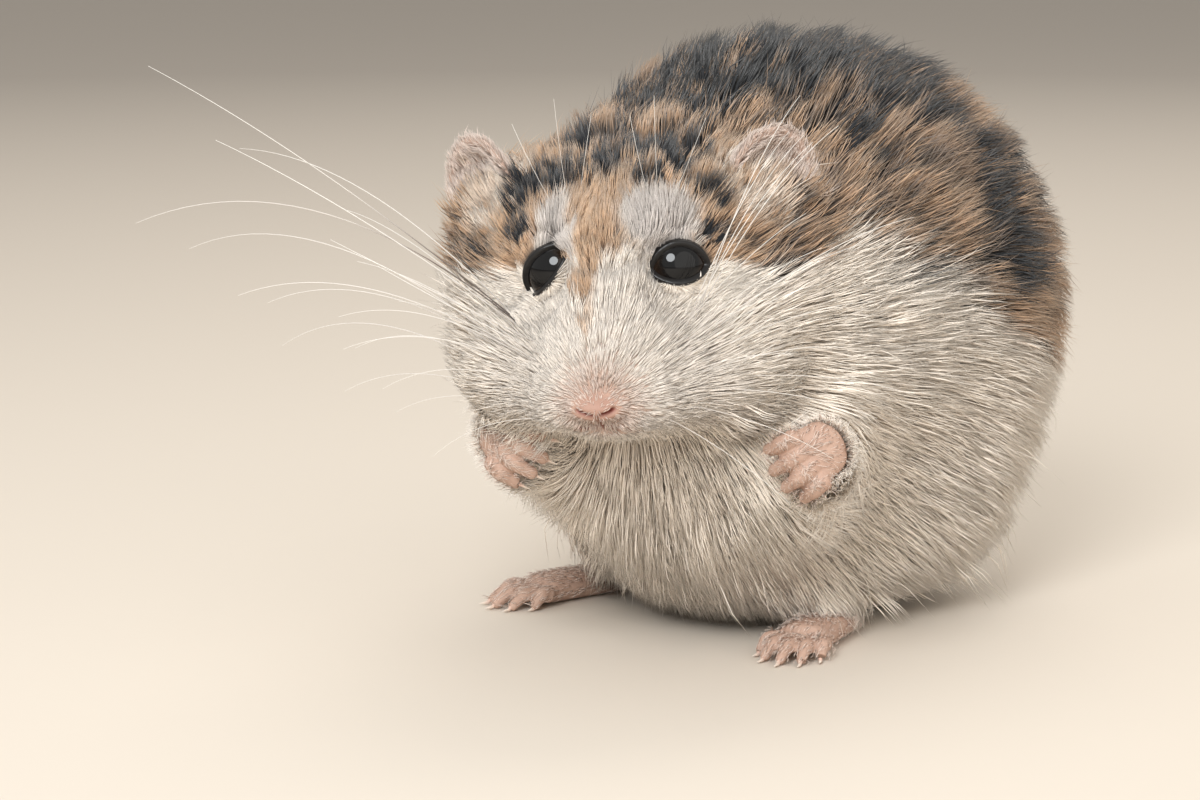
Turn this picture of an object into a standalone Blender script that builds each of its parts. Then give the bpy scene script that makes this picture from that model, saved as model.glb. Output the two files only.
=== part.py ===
"""Roborovski dwarf hamster, life size, crouched to eat with its head turned to its left.

Metres, +Z up, floor at z = 0. The rump looks along +Y and the chest along -Y, so +X is the
animal's left. Every solid's outside is the tips of the coat. The soft masses of the body are
ellipsoids melted into one skin, which is then parted into head, trunk and legs by thin cuts.
"""

import math

import bmesh
import bpy
from mathutils import Euler, Matrix, Vector

mm = 0.001
GAP = 0.3 * mm  # clear space between neighbouring solids
SKIN_VOXEL = 0.62 * mm  # cell of the remesh that melts the masses together
SKIN_FACES = 2950  # triangles of the melted body before it is parted
LEFT, RIGHT = 1, -1

# Pose of the head: the point between the eyeballs, and how far the face is turned from -Y.
EYE_MIDPOINT = Vector((6.4, -24.0, 25.9)) * mm
HEAD_YAW, HEAD_PITCH, HEAD_ROLL = 31, 16, -3  # degrees to its left, nose down, left eye up

# The chest is turned too, but less.
CHEST = Vector((4.2, -12.5, 15.5)) * mm
CHEST_YAW = 24

EYE_RADIUS = 2.0 * mm
EYE_SPREAD = 3.6 * mm  # from the midline to an eyeball's centre
EYE_GAZE = Vector((0.56, -0.79, 0.26)).normalized()  # of the left eye, in the head's frame
LID_RADIUS, LID_DEPTH = 1.6 * mm, 1.0 * mm  # the rim of the dish round an eyeball
DISH_SLOPE, DISH_CURVE = 0.55, 0.45 / mm  # how the dish rises outside that rim
NOSE_PLACE = Vector((-0.2, -9.7, -4.9)) * mm
NOSE_RADII = Vector((1.35, 1.15, 1.0)) * mm
EAR_THICKNESS = 0.7 * mm

# name: centre, radii (mm) and turn (degrees) of the soft masses behind the neck.
TRUNK_MASSES = {
    "rump": ((-0.4, 6.0, 19.6), (18.0, 16.4, 19.3), (0, 0, 0)),
    "back": ((0.4, -1.0, 21.8), (16.6, 17.0, 17.6), (0, 0, 6)),
    "ribs": ((2.0, -8.5, 19.0), (15.8, 12.5, 16.6), (0, 0, 14)),
    "chest": ((4.6, -13.5, 16.0), (12.8, 9.4, 12.6), (0, 0, 24)),
    "nape": ((3.6, -12.8, 24.0), (12.2, 8.4, 9.6), (12, 0, 26)),
    "belly": ((0.6, -1.0, 8.4), (13.6, 15.5, 10.1), (0, 0, 8)),
}
# The same for one side: x is mirrored for the right.
TRUNK_SIDE_MASSES = {
    "haunch": ((9.6, 3.0, 9.8), (6.8, 10.0, 9.0), (0, 0, -8)),
    "shoulder": ((7.6, -9.5, 14.0), (7.2, 9.0, 9.0), (0, 0, 10)),
}
# Masses of the head, in its own frame: origin between the eyes, face along -Y, level.
HEAD_MASSES = {
    "cranium": ((0, 6.6, 0.0), (8.6, 9.4, 6.9), (0, 0, 0)),
    "collar": ((0, 11.0, -3.6), (12.6, 8.0, 10.0), (0, 0, 0)),
    "throat": ((0, 5.0, -7.2), (8.5, 8.5, 6.0), (0, 0, 0)),
}
HEAD_SIDE_MASSES = {
    "cheek": ((6.0, 7.0, -4.3), (7.4, 8.4, 7.2), (0, 0, 16)),
    "temple": ((4.2, 6.8, 0.6), (4.9, 6.6, 4.8), (0, 0, 10)),
}
FACE_MASSES = {
    "forehead": ((0, 2.8, 0.3), (5.0, 7.4, 4.6), (-20, 0, 0)),
    "bridge": ((0, -3.6, -2.0), (3.2, 6.8, 3.4), (30, 0, 0)),
    "snout_root": ((0, -2.0, -3.8), (5.8, 6.4, 4.6), (0, 0, 0)),
    "muzzle": ((0, -4.8, -4.9), (4.9, 5.2, 3.5), (8, 0, 0)),
    "chin": ((0, -3.2, -7.2), (3.4, 3.8, 2.2), (0, 0, 0)),
}
FACE_SIDE_MASSES = {
    "jowl": ((4.5, 0.9, -5.3), (5.8, 7.1, 5.0), (0, 0, 22)),
    "whisker_pad": ((2.3, -6.1, -5.3), (3.0, 3.4, 2.5), (0, 0, 0)),
    "brow": ((2.4, 1.6, 1.6), (2.4, 3.2, 1.9), (0, 0, 0)),
}


# ---------------------------------------------------------------- frames

def turned(degrees):
    """Rotation matrix from Euler angles in degrees."""
    return Euler([math.radians(angle) for angle in degrees]).to_matrix().to_4x4()


HEAD_FRAME = (
    Matrix.Translation(EYE_MIDPOINT)
    @ turned((0, 0, HEAD_YAW))
    @ turned((HEAD_PITCH, 0, 0))
    @ turned((0, HEAD_ROLL, 0))
)
CHEST_FRAME = Matrix.Translation(CHEST) @ turned((0, 0, CHEST_YAW))


# ---------------------------------------------------------------- making and joining shapes

def clear_scene():
    for item in list(bpy.data.objects):
        bpy.data.objects.remove(item)


def collection(name):
    made = bpy.data.collections.new(name)
    bpy.context.scene.collection.children.link(made)
    return made


def material(name, colour, roughness):
    made = bpy.data.materials.new(name)
    made.use_nodes = True
    shader = made.node_tree.nodes["Principled BSDF"]
    shader.inputs["Base Color"].default_value = (*colour, 1)
    shader.inputs["Roughness"].default_value = roughness
    shader.inputs["Metallic"].default_value = 0
    return made


def object_from(bm, name, group):
    mesh = bpy.data.meshes.new(name)
    bm.to_mesh(mesh)
    bm.free()
    made = bpy.data.objects.new(name, mesh)
    group.objects.link(made)
    return made


def add_ellipsoid(bm, centre, radii, turn=(0, 0, 0), frame=Matrix.Identity(4), fineness=4):
    """Adds an ellipsoid to bm. Centre and radii are in metres, turn is in degrees."""
    place = frame @ Matrix.LocRotScale(Vector(centre), turned(turn).to_quaternion(), Vector(radii))
    bmesh.ops.create_icosphere(bm, subdivisions=fineness, radius=1, matrix=place)


def add_masses(bm, masses, frame, sides=(LEFT,)):
    for centre, radii, turn in masses.values():
        for side in sides:
            place = Vector((side * centre[0], centre[1], centre[2])) * mm
            lean = (turn[0], side * turn[1], side * turn[2])
            add_ellipsoid(bm, place, Vector(radii) * mm, lean, frame)


def baked(source, name, group):
    """A plain mesh object of source as its modifiers leave it. The source is removed."""
    bpy.context.view_layer.update()
    graph = bpy.context.evaluated_depsgraph_get()
    mesh = bpy.data.meshes.new_from_object(source.evaluated_get(graph))
    mesh.name = name
    old = source.data
    bpy.data.objects.remove(source)
    bpy.data.meshes.remove(old)
    made = bpy.data.objects.new(name, mesh)
    group.objects.link(made)
    return made


def melted(bm, name, group, voxel, smoothing, faces, shape=None):
    """One closed skin round everything in bm, smoothed, with about that many triangles.

    shape(mesh) may move the skin before it is thinned out.
    """
    source = object_from(bm, name, group)
    remesh = source.modifiers.new("melt", "REMESH")
    remesh.mode = "VOXEL"
    remesh.voxel_size = voxel
    smooth = source.modifiers.new("soften", "SMOOTH")
    smooth.factor = 0.5
    smooth.iterations = smoothing
    source = baked(source, name + "_fine", group)
    if shape:
        shape(source.data)
    thin = source.modifiers.new("thin_out", "DECIMATE")
    triangles = sum(len(face.vertices) - 2 for face in source.data.polygons)
    thin.ratio = min(1, faces / triangles)
    return baked(source, name, group)


def grown(source, by, group):
    """A copy of source pushed out along its normals, used as a cutter."""
    copy = bpy.data.objects.new(source.name + "_grown", source.data.copy())
    group.objects.link(copy)
    push = copy.modifiers.new("grow", "DISPLACE")
    push.strength = by
    push.mid_level = 0
    return baked(copy, source.name + "_cutter", group)


def combine(target, tool, operation, name, group):
    change = target.modifiers.new(operation.lower(), "BOOLEAN")
    change.operation = operation
    change.object = tool
    change.solver = "EXACT"
    return baked(target, name, group)


def keep_biggest(target):
    """Drops the crumbs that a cut leaves beside the main piece."""
    bm = bmesh.new()
    bm.from_mesh(target.data)
    unseen = set(bm.verts)
    islands = []
    while unseen:
        front = [unseen.pop()]
        island = set(front)
        while front:
            for edge in front.pop().link_edges:
                for corner in edge.verts:
                    if corner in unseen:
                        unseen.remove(corner)
                        island.add(corner)
                        front.append(corner)
        islands.append(island)
    biggest = max(islands, key=len)
    bmesh.ops.delete(bm, geom=[v for v in bm.verts if v not in biggest], context="VERTS")
    bm.to_mesh(target.data)
    bm.free()


def hide(tool):
    tool.hide_render = True
    tool.display_type = "WIRE"


def part_off(whole, zone, name, nodes, cutters):
    """The share of whole inside zone becomes a node, and the rest is returned, GAP clear of it.

    zone(extra) makes the cutter's mesh, grown by extra metres.
    """
    copy = bpy.data.objects.new(name, whole.data.copy())
    nodes.objects.link(copy)
    inner = object_from(zone(0), name + "_zone", cutters)
    outer = object_from(zone(GAP), name + "_zone_clear", cutters)
    piece = combine(copy, inner, "INTERSECT", name, nodes)
    keep_biggest(piece)
    rest = combine(whole, outer, "DIFFERENCE", whole.name, nodes)
    keep_biggest(rest)
    hide(inner)
    hide(outer)
    return piece, rest


def ellipsoid_zone(centre, radii, turn=(0, 0, 0), frame=Matrix.Identity(4)):
    def zone(extra):
        bm = bmesh.new()
        grown_radii = Vector(radii) * mm + Vector((extra,) * 3)
        add_ellipsoid(bm, Vector(centre) * mm, grown_radii, turn, frame, 3)
        return bm
    return zone


def box_zone(centre, size, turn=(0, 0, 0), frame=Matrix.Identity(4)):
    def zone(extra):
        bm = bmesh.new()
        sides = Vector(size) * mm + Vector((2 * extra,) * 3)
        place = frame @ Matrix.LocRotScale(Vector(centre) * mm, turned(turn).to_quaternion(), sides)
        bmesh.ops.create_cube(bm, size=1, matrix=place)
        return bm
    return zone


def cut_away(target, tool, nodes):
    """Takes tool out of target and hides tool."""
    rest = combine(target, tool, "DIFFERENCE", target.name, nodes)
    keep_biggest(rest)
    hide(tool)
    return rest


def clear_of(target, neighbours, nodes, cutters):
    """Cuts target back to GAP from each neighbour."""
    for neighbour in neighbours:
        target = cut_away(target, grown(neighbour, GAP, cutters), nodes)
    return target


def finish(node, surface, crease=50):
    node.data.materials.clear()
    node.data.materials.append(surface)
    node.data.shade_smooth()
    node.data.set_sharp_from_angle(angle=math.radians(crease))


# ---------------------------------------------------------------- body

# Forearm, in the chest's frame for the left side (mm): from elbow to wrist.
ELBOW, WRIST = Vector((7.6, -3.6, -4.6)) * mm, Vector((9.9, -9.2, -0.9)) * mm
ELBOW_RADIUS, WRIST_RADIUS = 3.6 * mm, 1.8 * mm
FOREARM_STEPS = 6
FOREARM_ZONE = ((9.6, -9.4, -1.6), (4.2, 4.4, 3.6), (0, 0, 0))
HEAD_ZONE = ((0, -1.5, -0.5), (16.0, 13.5, 11.2), (0, 0, 0))  # in the head's frame
BEYOND_BODY = 90  # mm, a box side longer than the body
THIGH_ZONE = ((15.0, 1.0, 6.6), (8.6, 10.0, 10.0), (0, 0, -8))


def dish_eyes(mesh):
    """Lowers the skin round each eye to a shallow dish, so that the eyeball stands clear."""
    for side in (LEFT, RIGHT):
        centre = HEAD_FRAME @ Vector((side * EYE_SPREAD, 0, 0))
        gaze = HEAD_FRAME.to_3x3() @ Vector((side * EYE_GAZE.x, EYE_GAZE.y, EYE_GAZE.z))
        for vertex in mesh.vertices:
            offset = vertex.co - centre
            height = offset.dot(gaze)
            aside = (offset - height * gaze).length
            beyond = max(0, aside - LID_RADIUS)
            limit = LID_DEPTH + DISH_SLOPE * beyond + DISH_CURVE * beyond ** 2
            vertex.co -= gaze * max(0, height - limit)


def mirrored(zone_values, side):
    centre, radii, turn = zone_values
    return (side * centre[0], centre[1], centre[2]), radii, (turn[0], side * turn[1], side * turn[2])


def join_meshes(bm, *sources):
    for source in sources:
        bm.from_mesh(source.data)
        bpy.data.objects.remove(source)


def make_body(nodes, cutters):
    """The whole coated body before it is parted, with its belly pressed flat by the floor."""
    here = Matrix.Identity(4)
    both = (LEFT, RIGHT)
    trunk = bmesh.new()
    add_masses(trunk, TRUNK_MASSES, here)
    add_masses(trunk, TRUNK_SIDE_MASSES, here, both)
    trunk = melted(trunk, "trunk_mass", nodes, 0.8 * mm, 60, 9000)
    head = bmesh.new()
    add_masses(head, HEAD_MASSES, HEAD_FRAME)
    add_masses(head, HEAD_SIDE_MASSES, HEAD_FRAME, both)
    head = melted(head, "head_mass", nodes, 0.6 * mm, 26, 9000)
    bm = bmesh.new()
    join_meshes(bm, trunk, head)
    add_masses(bm, FACE_MASSES, HEAD_FRAME)
    add_masses(bm, FACE_SIDE_MASSES, HEAD_FRAME, both)
    for side in both:
        for step in range(FOREARM_STEPS + 1):
            share = step / FOREARM_STEPS
            place = ELBOW.lerp(WRIST, share)
            radius = ELBOW_RADIUS + (WRIST_RADIUS - ELBOW_RADIUS) * share
            centre = Vector((side * place.x, place.y, place.z))
            add_ellipsoid(bm, centre, (radius,) * 3, frame=CHEST_FRAME, fineness=3)
    body = melted(bm, "trunk", nodes, SKIN_VOXEL, 13, SKIN_FACES, dish_eyes)
    return press_on_floor(body, nodes, cutters)


def press_on_floor(body, nodes, cutters):
    size = BEYOND_BODY * 2
    floor = object_from(box_zone((0, 0, -size / 2), (size, size, size))(0), "floor", cutters)
    return cut_away(body, floor, nodes)


def part_body(body, nodes, cutters):
    """Cuts the body into its head, trunk, thighs and forearms. Returns them by name."""
    pieces = {}
    for side, word in ((LEFT, "left"), (RIGHT, "right")):
        arm_zone = ellipsoid_zone(*mirrored(FOREARM_ZONE, side), CHEST_FRAME)
        pieces[word + "_foreleg"], body = part_off(body, arm_zone, word + "_foreleg", nodes, cutters)
    head_zone = ellipsoid_zone(*HEAD_ZONE, HEAD_FRAME)
    pieces["head"], body = part_off(body, head_zone, "head", nodes, cutters)
    for side, word in ((LEFT, "left"), (RIGHT, "right")):
        thigh_zone = ellipsoid_zone(*mirrored(THIGH_ZONE, side))
        pieces[word + "_thigh"], body = part_off(body, thigh_zone, word + "_thigh", nodes, cutters)
    pieces["trunk"] = body
    return pieces


# ---------------------------------------------------------------- eyes and nose

def make_eyes(pieces, nodes, cutters):
    """Two eyeballs, each in a socket cut into the head."""
    for side, word in ((LEFT, "left"), (RIGHT, "right")):
        centre = (side * EYE_SPREAD, 0, 0)
        bm = bmesh.new()
        add_ellipsoid(bm, centre, (EYE_RADIUS,) * 3, frame=HEAD_FRAME, fineness=3)
        eye = object_from(bm, word + "_eye", nodes)
        pieces["head"] = cut_away(pieces["head"], grown(eye, GAP, cutters), nodes)
        pieces[eye.name] = eye


def make_nose(pieces, nodes, cutters):
    bm = bmesh.new()
    add_ellipsoid(bm, NOSE_PLACE, NOSE_RADII, frame=HEAD_FRAME, fineness=2)
    nose = object_from(bm, "nose", nodes)
    pieces["head"] = cut_away(pieces["head"], grown(nose, GAP, cutters), nodes)
    pieces["nose"] = nose


# ---------------------------------------------------------------- ears

# Left ear, in the head's frame (mm).
EAR_ROOT, EAR_TIP = Vector((7.8, 2.8, -0.9)), Vector((10.3, 6.9, 5.8))
EAR_HOLLOW = Vector((0.62, -0.74, 0.25))  # the way its hollow looks
EAR_HALF_WIDTH, EAR_CUP_DEPTH = 3.0, 1.5
EAR_SEGMENTS, EAR_RINGS = 20, 14


def make_ears(pieces, nodes, cutters):
    """Each ear is a thin leaf: the back half of a hollow egg, cut off where it meets the head."""
    for side, word in ((LEFT, "left"), (RIGHT, "right")):
        root, tip, hollow = (Vector((side * v.x, v.y, v.z)) for v in (EAR_ROOT, EAR_TIP, EAR_HOLLOW))
        up = (tip - root).normalized()
        back = -(hollow - up * hollow.dot(up)).normalized()
        axes = Matrix((back.cross(up), back, up)).transposed().to_4x4()
        half_length = (tip - root).length / 2
        bm = bmesh.new()
        bmesh.ops.create_uvsphere(bm, u_segments=EAR_SEGMENTS, v_segments=EAR_RINGS, radius=1)
        bmesh.ops.bisect_plane(
            bm, geom=bm.verts[:] + bm.edges[:] + bm.faces[:], plane_co=(0, 0, 0),
            plane_no=(0, -1, 0), clear_outer=True, dist=1e-6,
        )
        bmesh.ops.scale(bm, vec=(EAR_HALF_WIDTH, EAR_CUP_DEPTH, half_length), verts=bm.verts)
        place = HEAD_FRAME @ Matrix.Scale(mm, 4) @ Matrix.Translation((root + tip) / 2) @ axes
        bmesh.ops.transform(bm, matrix=place, verts=bm.verts)
        ear = object_from(bm, word + "_ear", nodes)
        wall = ear.modifiers.new("wall", "SOLIDIFY")
        wall.thickness = EAR_THICKNESS
        wall.offset = 0
        ear = baked(ear, word + "_ear", nodes)
        pieces[word + "_ear"] = clear_of(ear, (pieces["head"], pieces["trunk"]), nodes, cutters)


# ---------------------------------------------------------------- paws, feet and tail

PAW_FACES, FOOT_FACES, TAIL_FACES = 340, 315, 90
DIGIT_STEPS = 7
# Left forepaw, in the chest's frame (mm): held up, fingers bent inward over what it grips.
PAW_CENTRE = Vector((9.9, -11.1, -0.5))
PAW_FINGERS = Vector((-0.70, -0.46, -0.54))  # the way the fingers point
PAW_BACK = Vector((0.42, -0.86, 0.28))  # the way the back of the paw looks
PALM_RADII = Vector((2.0, 1.6, 1.2))
FINGER_ROOTS = (-1.5, -0.5, 0.5, 1.5)  # across the palm, inner finger first
FINGER_LENGTHS = (1.6, 2.0, 2.0, 1.5)
FINGER_RADII = (0.66, 0.4)
FINGER_DROP = 1.2  # how far the tips bend towards the palm


def add_digit(bm, root, length, drop, splay, radii, frame):
    """A finger or toe with its claw: balls along a bow that drops towards the tip."""
    for step in range(DIGIT_STEPS + 1):
        share = step / DIGIT_STEPS
        place = Vector((
            root[0] + math.sin(splay) * length * share,
            root[1] - math.cos(splay) * length * share,
            root[2] + 0.35 * math.sin(math.pi * share) - drop * share ** 2,
        ))
        radius = radii[0] + (radii[1] - radii[0]) * share ** 1.5
        add_ellipsoid(bm, place * mm, (radius * mm,) * 3, frame=frame, fineness=2)


def make_paws(pieces, nodes, cutters):
    """Forepaws held up in front of the chest, each with four bent fingers."""
    for side, word in ((LEFT, "left"), (RIGHT, "right")):
        centre, fingers, back = (
            Vector((side * v.x, v.y, v.z)) for v in (PAW_CENTRE, PAW_FINGERS, PAW_BACK)
        )
        rear = -fingers.normalized()
        top = (back - rear * back.dot(rear)).normalized()
        axes = Matrix((rear.cross(top), rear, top)).transposed().to_4x4()
        frame = CHEST_FRAME @ Matrix.Translation(centre * mm) @ axes
        bm = bmesh.new()
        add_ellipsoid(bm, (0, 0.4 * mm, 0), PALM_RADII * mm, frame=frame, fineness=3)
        wrist = Vector((side * WRIST.x, WRIST.y, WRIST.z))
        for share in (0, 0.35, 0.7):
            place = wrist.lerp(centre * mm, share)
            add_ellipsoid(bm, place, (1.35 * mm,) * 3, frame=CHEST_FRAME, fineness=3)
        for x, length in zip(FINGER_ROOTS, FINGER_LENGTHS):
            root = (x, -0.6, 0.3)
            add_digit(bm, root, length, FINGER_DROP, math.radians(9 * x), FINGER_RADII, frame)
        paw = melted(bm, word + "_forepaw", nodes, 0.2 * mm, 2, PAW_FACES)
        neighbours = (pieces[word + "_foreleg"], pieces["trunk"], pieces["head"])
        pieces[word + "_forepaw"] = clear_of(paw, neighbours, nodes, cutters)


# Hind foot, flat on the floor (mm): heel, way it points, sole and toes.
HEEL = Vector((9.4, -4.2, 0.0))
FOOT_YAW = 14
SOLE_LENGTH, SOLE_RADII, SOLE_HEIGHT = 6.6, (1.5, 1.9), 1.15
TOE_ROOTS = (-1.6, -0.85, 0.0, 0.85, 1.6)
TOE_LENGTHS = (1.7, 2.6, 2.8, 2.6, 1.6)
TOE_RADII = (0.62, 0.34)


def make_feet(pieces, nodes, cutters):
    """Hind feet flat on the floor, the toes showing from under the belly."""
    for side, word in ((LEFT, "left"), (RIGHT, "right")):
        place = Matrix.Translation(Vector((side * HEEL.x, HEEL.y, 0)) * mm)
        frame = place @ turned((0, 0, side * FOOT_YAW))
        bm = bmesh.new()
        for step in range(DIGIT_STEPS + 1):
            share = step / DIGIT_STEPS
            radius = SOLE_RADII[0] + (SOLE_RADII[1] - SOLE_RADII[0]) * share
            centre = Vector((0, -SOLE_LENGTH * share, 0.8 * SOLE_HEIGHT)) * mm
            add_ellipsoid(bm, centre, Vector((radius, radius, SOLE_HEIGHT)) * mm, frame=frame, fineness=3)
        for x, length in zip(TOE_ROOTS, TOE_LENGTHS):
            root = (side * x, -SOLE_LENGTH - 1.2 + 0.3 * abs(x), 0.7)
            add_digit(bm, root, length, 0.35, math.radians(10 * side * x), TOE_RADII, frame)
        foot = melted(bm, word + "_hind_foot", nodes, 0.22 * mm, 2, FOOT_FACES)
        foot = press_on_floor(foot, nodes, cutters)
        neighbours = (pieces["trunk"], pieces[word + "_thigh"])
        pieces[word + "_hind_foot"] = clear_of(foot, neighbours, nodes, cutters)


TAIL_ROOT, TAIL_TIP = Vector((-0.4, 15.8, 6.2)), Vector((-0.8, 19.5, 4.2))
TAIL_RADII = (1.6, 0.9)


def make_tail(pieces, nodes, cutters):
    """The short furred tail, of which little more than the tip stands out of the coat."""
    bm = bmesh.new()
    for step in range(DIGIT_STEPS + 1):
        share = step / DIGIT_STEPS
        radius = TAIL_RADII[0] + (TAIL_RADII[1] - TAIL_RADII[0]) * share
        add_ellipsoid(bm, TAIL_ROOT.lerp(TAIL_TIP, share) * mm, (radius * mm,) * 3, fineness=3)
    tail = melted(bm, "tail", nodes, 0.25 * mm, 2, TAIL_FACES)
    pieces["tail"] = clear_of(tail, (pieces["trunk"],), nodes, cutters)


# ---------------------------------------------------------------- whole animal

def centre_on_floor(pieces):
    """Slides everything so that the origin is on the floor under the middle of the whole."""
    corners = [v.co for piece in pieces.values() for v in piece.data.vertices]
    middle = [(min(c[k] for c in corners) + max(c[k] for c in corners)) / 2 for k in (0, 1)]
    for piece in pieces.values():
        piece.data.transform(Matrix.Translation((-middle[0], -middle[1], 0)))


def main():
    clear_scene()
    nodes = collection("roborovski_hamster")
    cutters = collection("cutters")
    coat = material("coat", (0.62, 0.52, 0.42), 0.85)
    bare_skin = material("bare_skin", (0.78, 0.52, 0.46), 0.55)
    ear_skin = material("ear_skin", (0.66, 0.54, 0.50), 0.7)
    eye_surface = material("eye", (0.012, 0.010, 0.010), 0.08)
    pieces = part_body(make_body(nodes, cutters), nodes, cutters)
    make_eyes(pieces, nodes, cutters)
    make_nose(pieces, nodes, cutters)
    make_ears(pieces, nodes, cutters)
    make_paws(pieces, nodes, cutters)
    make_feet(pieces, nodes, cutters)
    make_tail(pieces, nodes, cutters)
    centre_on_floor(pieces)
    surfaces = {
        "eye": eye_surface, "ear": ear_skin, "nose": bare_skin, "forepaw": bare_skin,
        "foot": bare_skin,
    }
    for name, piece in pieces.items():
        finish(piece, surfaces.get(name.split("_")[-1], coat))


main()
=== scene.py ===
"""Roborovski dwarf hamster, life size, as a still model: hide, eyes, claws, coat and whiskers.

Metres, +Z up, floor at z = 0. The rump looks along +Y, and the face is turned to the animal's
left of -Y. Sizes are written in millimetres, and become metres where a mesh is made.
"""

import math

import bmesh
import bpy
import numpy as np
from mathutils import Matrix, Vector, noise
from mathutils.bvhtree import BVHTree
from mathutils.geometry import barycentric_transform
from mathutils.kdtree import KDTree


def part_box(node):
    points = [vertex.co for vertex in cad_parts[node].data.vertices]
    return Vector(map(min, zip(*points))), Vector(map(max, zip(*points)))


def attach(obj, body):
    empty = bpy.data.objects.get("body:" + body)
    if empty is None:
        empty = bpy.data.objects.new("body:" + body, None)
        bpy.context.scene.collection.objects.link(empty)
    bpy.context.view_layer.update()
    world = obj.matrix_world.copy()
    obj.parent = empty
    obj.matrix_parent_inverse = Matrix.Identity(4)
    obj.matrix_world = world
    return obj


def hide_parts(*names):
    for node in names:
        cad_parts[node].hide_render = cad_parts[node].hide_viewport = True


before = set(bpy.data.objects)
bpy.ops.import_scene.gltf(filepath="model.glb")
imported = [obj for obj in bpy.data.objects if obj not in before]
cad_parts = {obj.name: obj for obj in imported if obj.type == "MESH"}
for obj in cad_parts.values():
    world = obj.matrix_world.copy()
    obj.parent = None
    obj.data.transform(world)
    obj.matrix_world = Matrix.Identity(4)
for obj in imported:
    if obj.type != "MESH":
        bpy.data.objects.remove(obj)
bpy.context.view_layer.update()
mm = 0.001
LEFT, RIGHT = 1, -1


# ---------------------------------------------------------------- the hide
# One closed skin from nose to tail, over all the soft solids. It lies under their outside by the
# depth of the coat, and has lids round the eyes, nostrils, a cleft lip and a mouth cut into it.

HIDE_CELL = 0.22  # cell of the remesh that melts the solids together
# solid: how far it swells to meet its neighbours, and how deep the coat is over it
FLESH = {
    "trunk": (0.35, 3.3),
    "head": (0.35, 2.4),
    "left_thigh": (0.35, 3.0),
    "right_thigh": (0.35, 3.0),
    "left_foreleg": (0.35, 1.0),
    "right_foreleg": (0.35, 1.0),
    "tail": (0.3, 0.45),
    "nose": (0.15, 0.1),
    "left_ear": (0.05, 0.15),
    "right_ear": (0.05, 0.15),
    "left_forepaw": (0.02, 0.1),
    "right_forepaw": (0.02, 0.1),
    "left_hind_foot": (0.05, 0.1),
    "right_hind_foot": (0.05, 0.1),
    "left_eye": (0.1, 0.0),
    "right_eye": (0.1, 0.0),
}
NODES = list(FLESH)
BULKY = ("trunk", "head", "left_thigh", "right_thigh")
BELLY_DEPTH = 1.1  # where the coat is pressed between the belly and the floor
THIN_SHARE = 0.28  # the coat never takes more of a thin part's thickness than this
BODY_KEEP = 0.2  # share of the faces kept on the bulky parts, which fur hides
FACE_BACK = 1.0  # how far behind the eyes the face keeps all its faces


def smooth_step(low, high, value):
    share = np.clip((value - low) / (high - low), 0, 1)
    return share * share * (3 - 2 * share)


def unit(vectors):
    return vectors / np.maximum(np.linalg.norm(vectors, axis=-1, keepdims=True), 1e-9)


def middle(node):
    low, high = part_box(node)
    return np.array((low + high) / 2 / mm)


# The head's own frame: origin between the eyes, across to its left, back and up.
EYES = {LEFT: middle("left_eye"), RIGHT: middle("right_eye")}
BETWEEN_EYES = (EYES[LEFT] + EYES[RIGHT]) / 2
NOSE_DROP = math.atan2(4.9, 9.7)  # how far the nose lies under the head's level
ACROSS = unit(EYES[LEFT] - EYES[RIGHT])
to_nose = middle("nose") - BETWEEN_EYES
to_nose = unit(to_nose - ACROSS * (to_nose @ ACROSS))
side_on = np.cross(ACROSS, -to_nose)
BACK = -math.cos(NOSE_DROP) * to_nose - math.sin(NOSE_DROP) * side_on
UP = -math.sin(NOSE_DROP) * to_nose + math.cos(NOSE_DROP) * side_on
HEAD_AXES = np.stack((ACROSS, BACK, UP))


def in_head(points):
    return (points - BETWEEN_EYES) @ HEAD_AXES.T


def from_head(points):
    return BETWEEN_EYES + np.asarray(points) @ HEAD_AXES


def gap_to(points, spot):
    """How far each point is from a spot."""
    return np.linalg.norm(points - spot, axis=1)


def object_of(name, points, faces, lines=()):
    """A mesh object from points in millimetres."""
    mesh = bpy.data.meshes.new(name)
    mesh.from_pydata((np.asarray(points) * mm).tolist(), lines, faces)
    made = bpy.data.objects.new(name, mesh)
    bpy.context.scene.collection.objects.link(made)
    return made


def baked(source):
    """A plain mesh of an object as its modifiers leave it. The object is removed."""
    bpy.context.view_layer.update()
    graph = bpy.context.evaluated_depsgraph_get()
    mesh = bpy.data.meshes.new_from_object(source.evaluated_get(graph))
    bpy.data.objects.remove(source)
    return mesh


def arrays(mesh):
    """Points in millimetres, triangles and edges of a mesh, which is left as triangles."""
    work = bmesh.new()
    work.from_mesh(mesh)
    bmesh.ops.triangulate(work, faces=work.faces)
    work.to_mesh(mesh)
    work.free()
    points = np.empty(len(mesh.vertices) * 3, np.float32)
    mesh.vertices.foreach_get("co", points)
    triangles = np.empty(len(mesh.polygons) * 3, np.int32)
    mesh.polygons.foreach_get("vertices", triangles)
    edges = np.empty(len(mesh.edges) * 2, np.int32)
    mesh.edges.foreach_get("vertices", edges)
    return points.reshape(-1, 3).astype(float) / mm, triangles.reshape(-1, 3), edges.reshape(-1, 2)


def outward(points, triangles):
    """Normals of the points of a triangle mesh."""
    a, b, c = (points[triangles[:, k]] for k in range(3))
    face = np.cross(b - a, c - a)
    total = [
        sum(np.bincount(triangles[:, k], face[:, axis], len(points)) for k in range(3))
        for axis in range(3)
    ]
    return unit(np.stack(total, 1))


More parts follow.
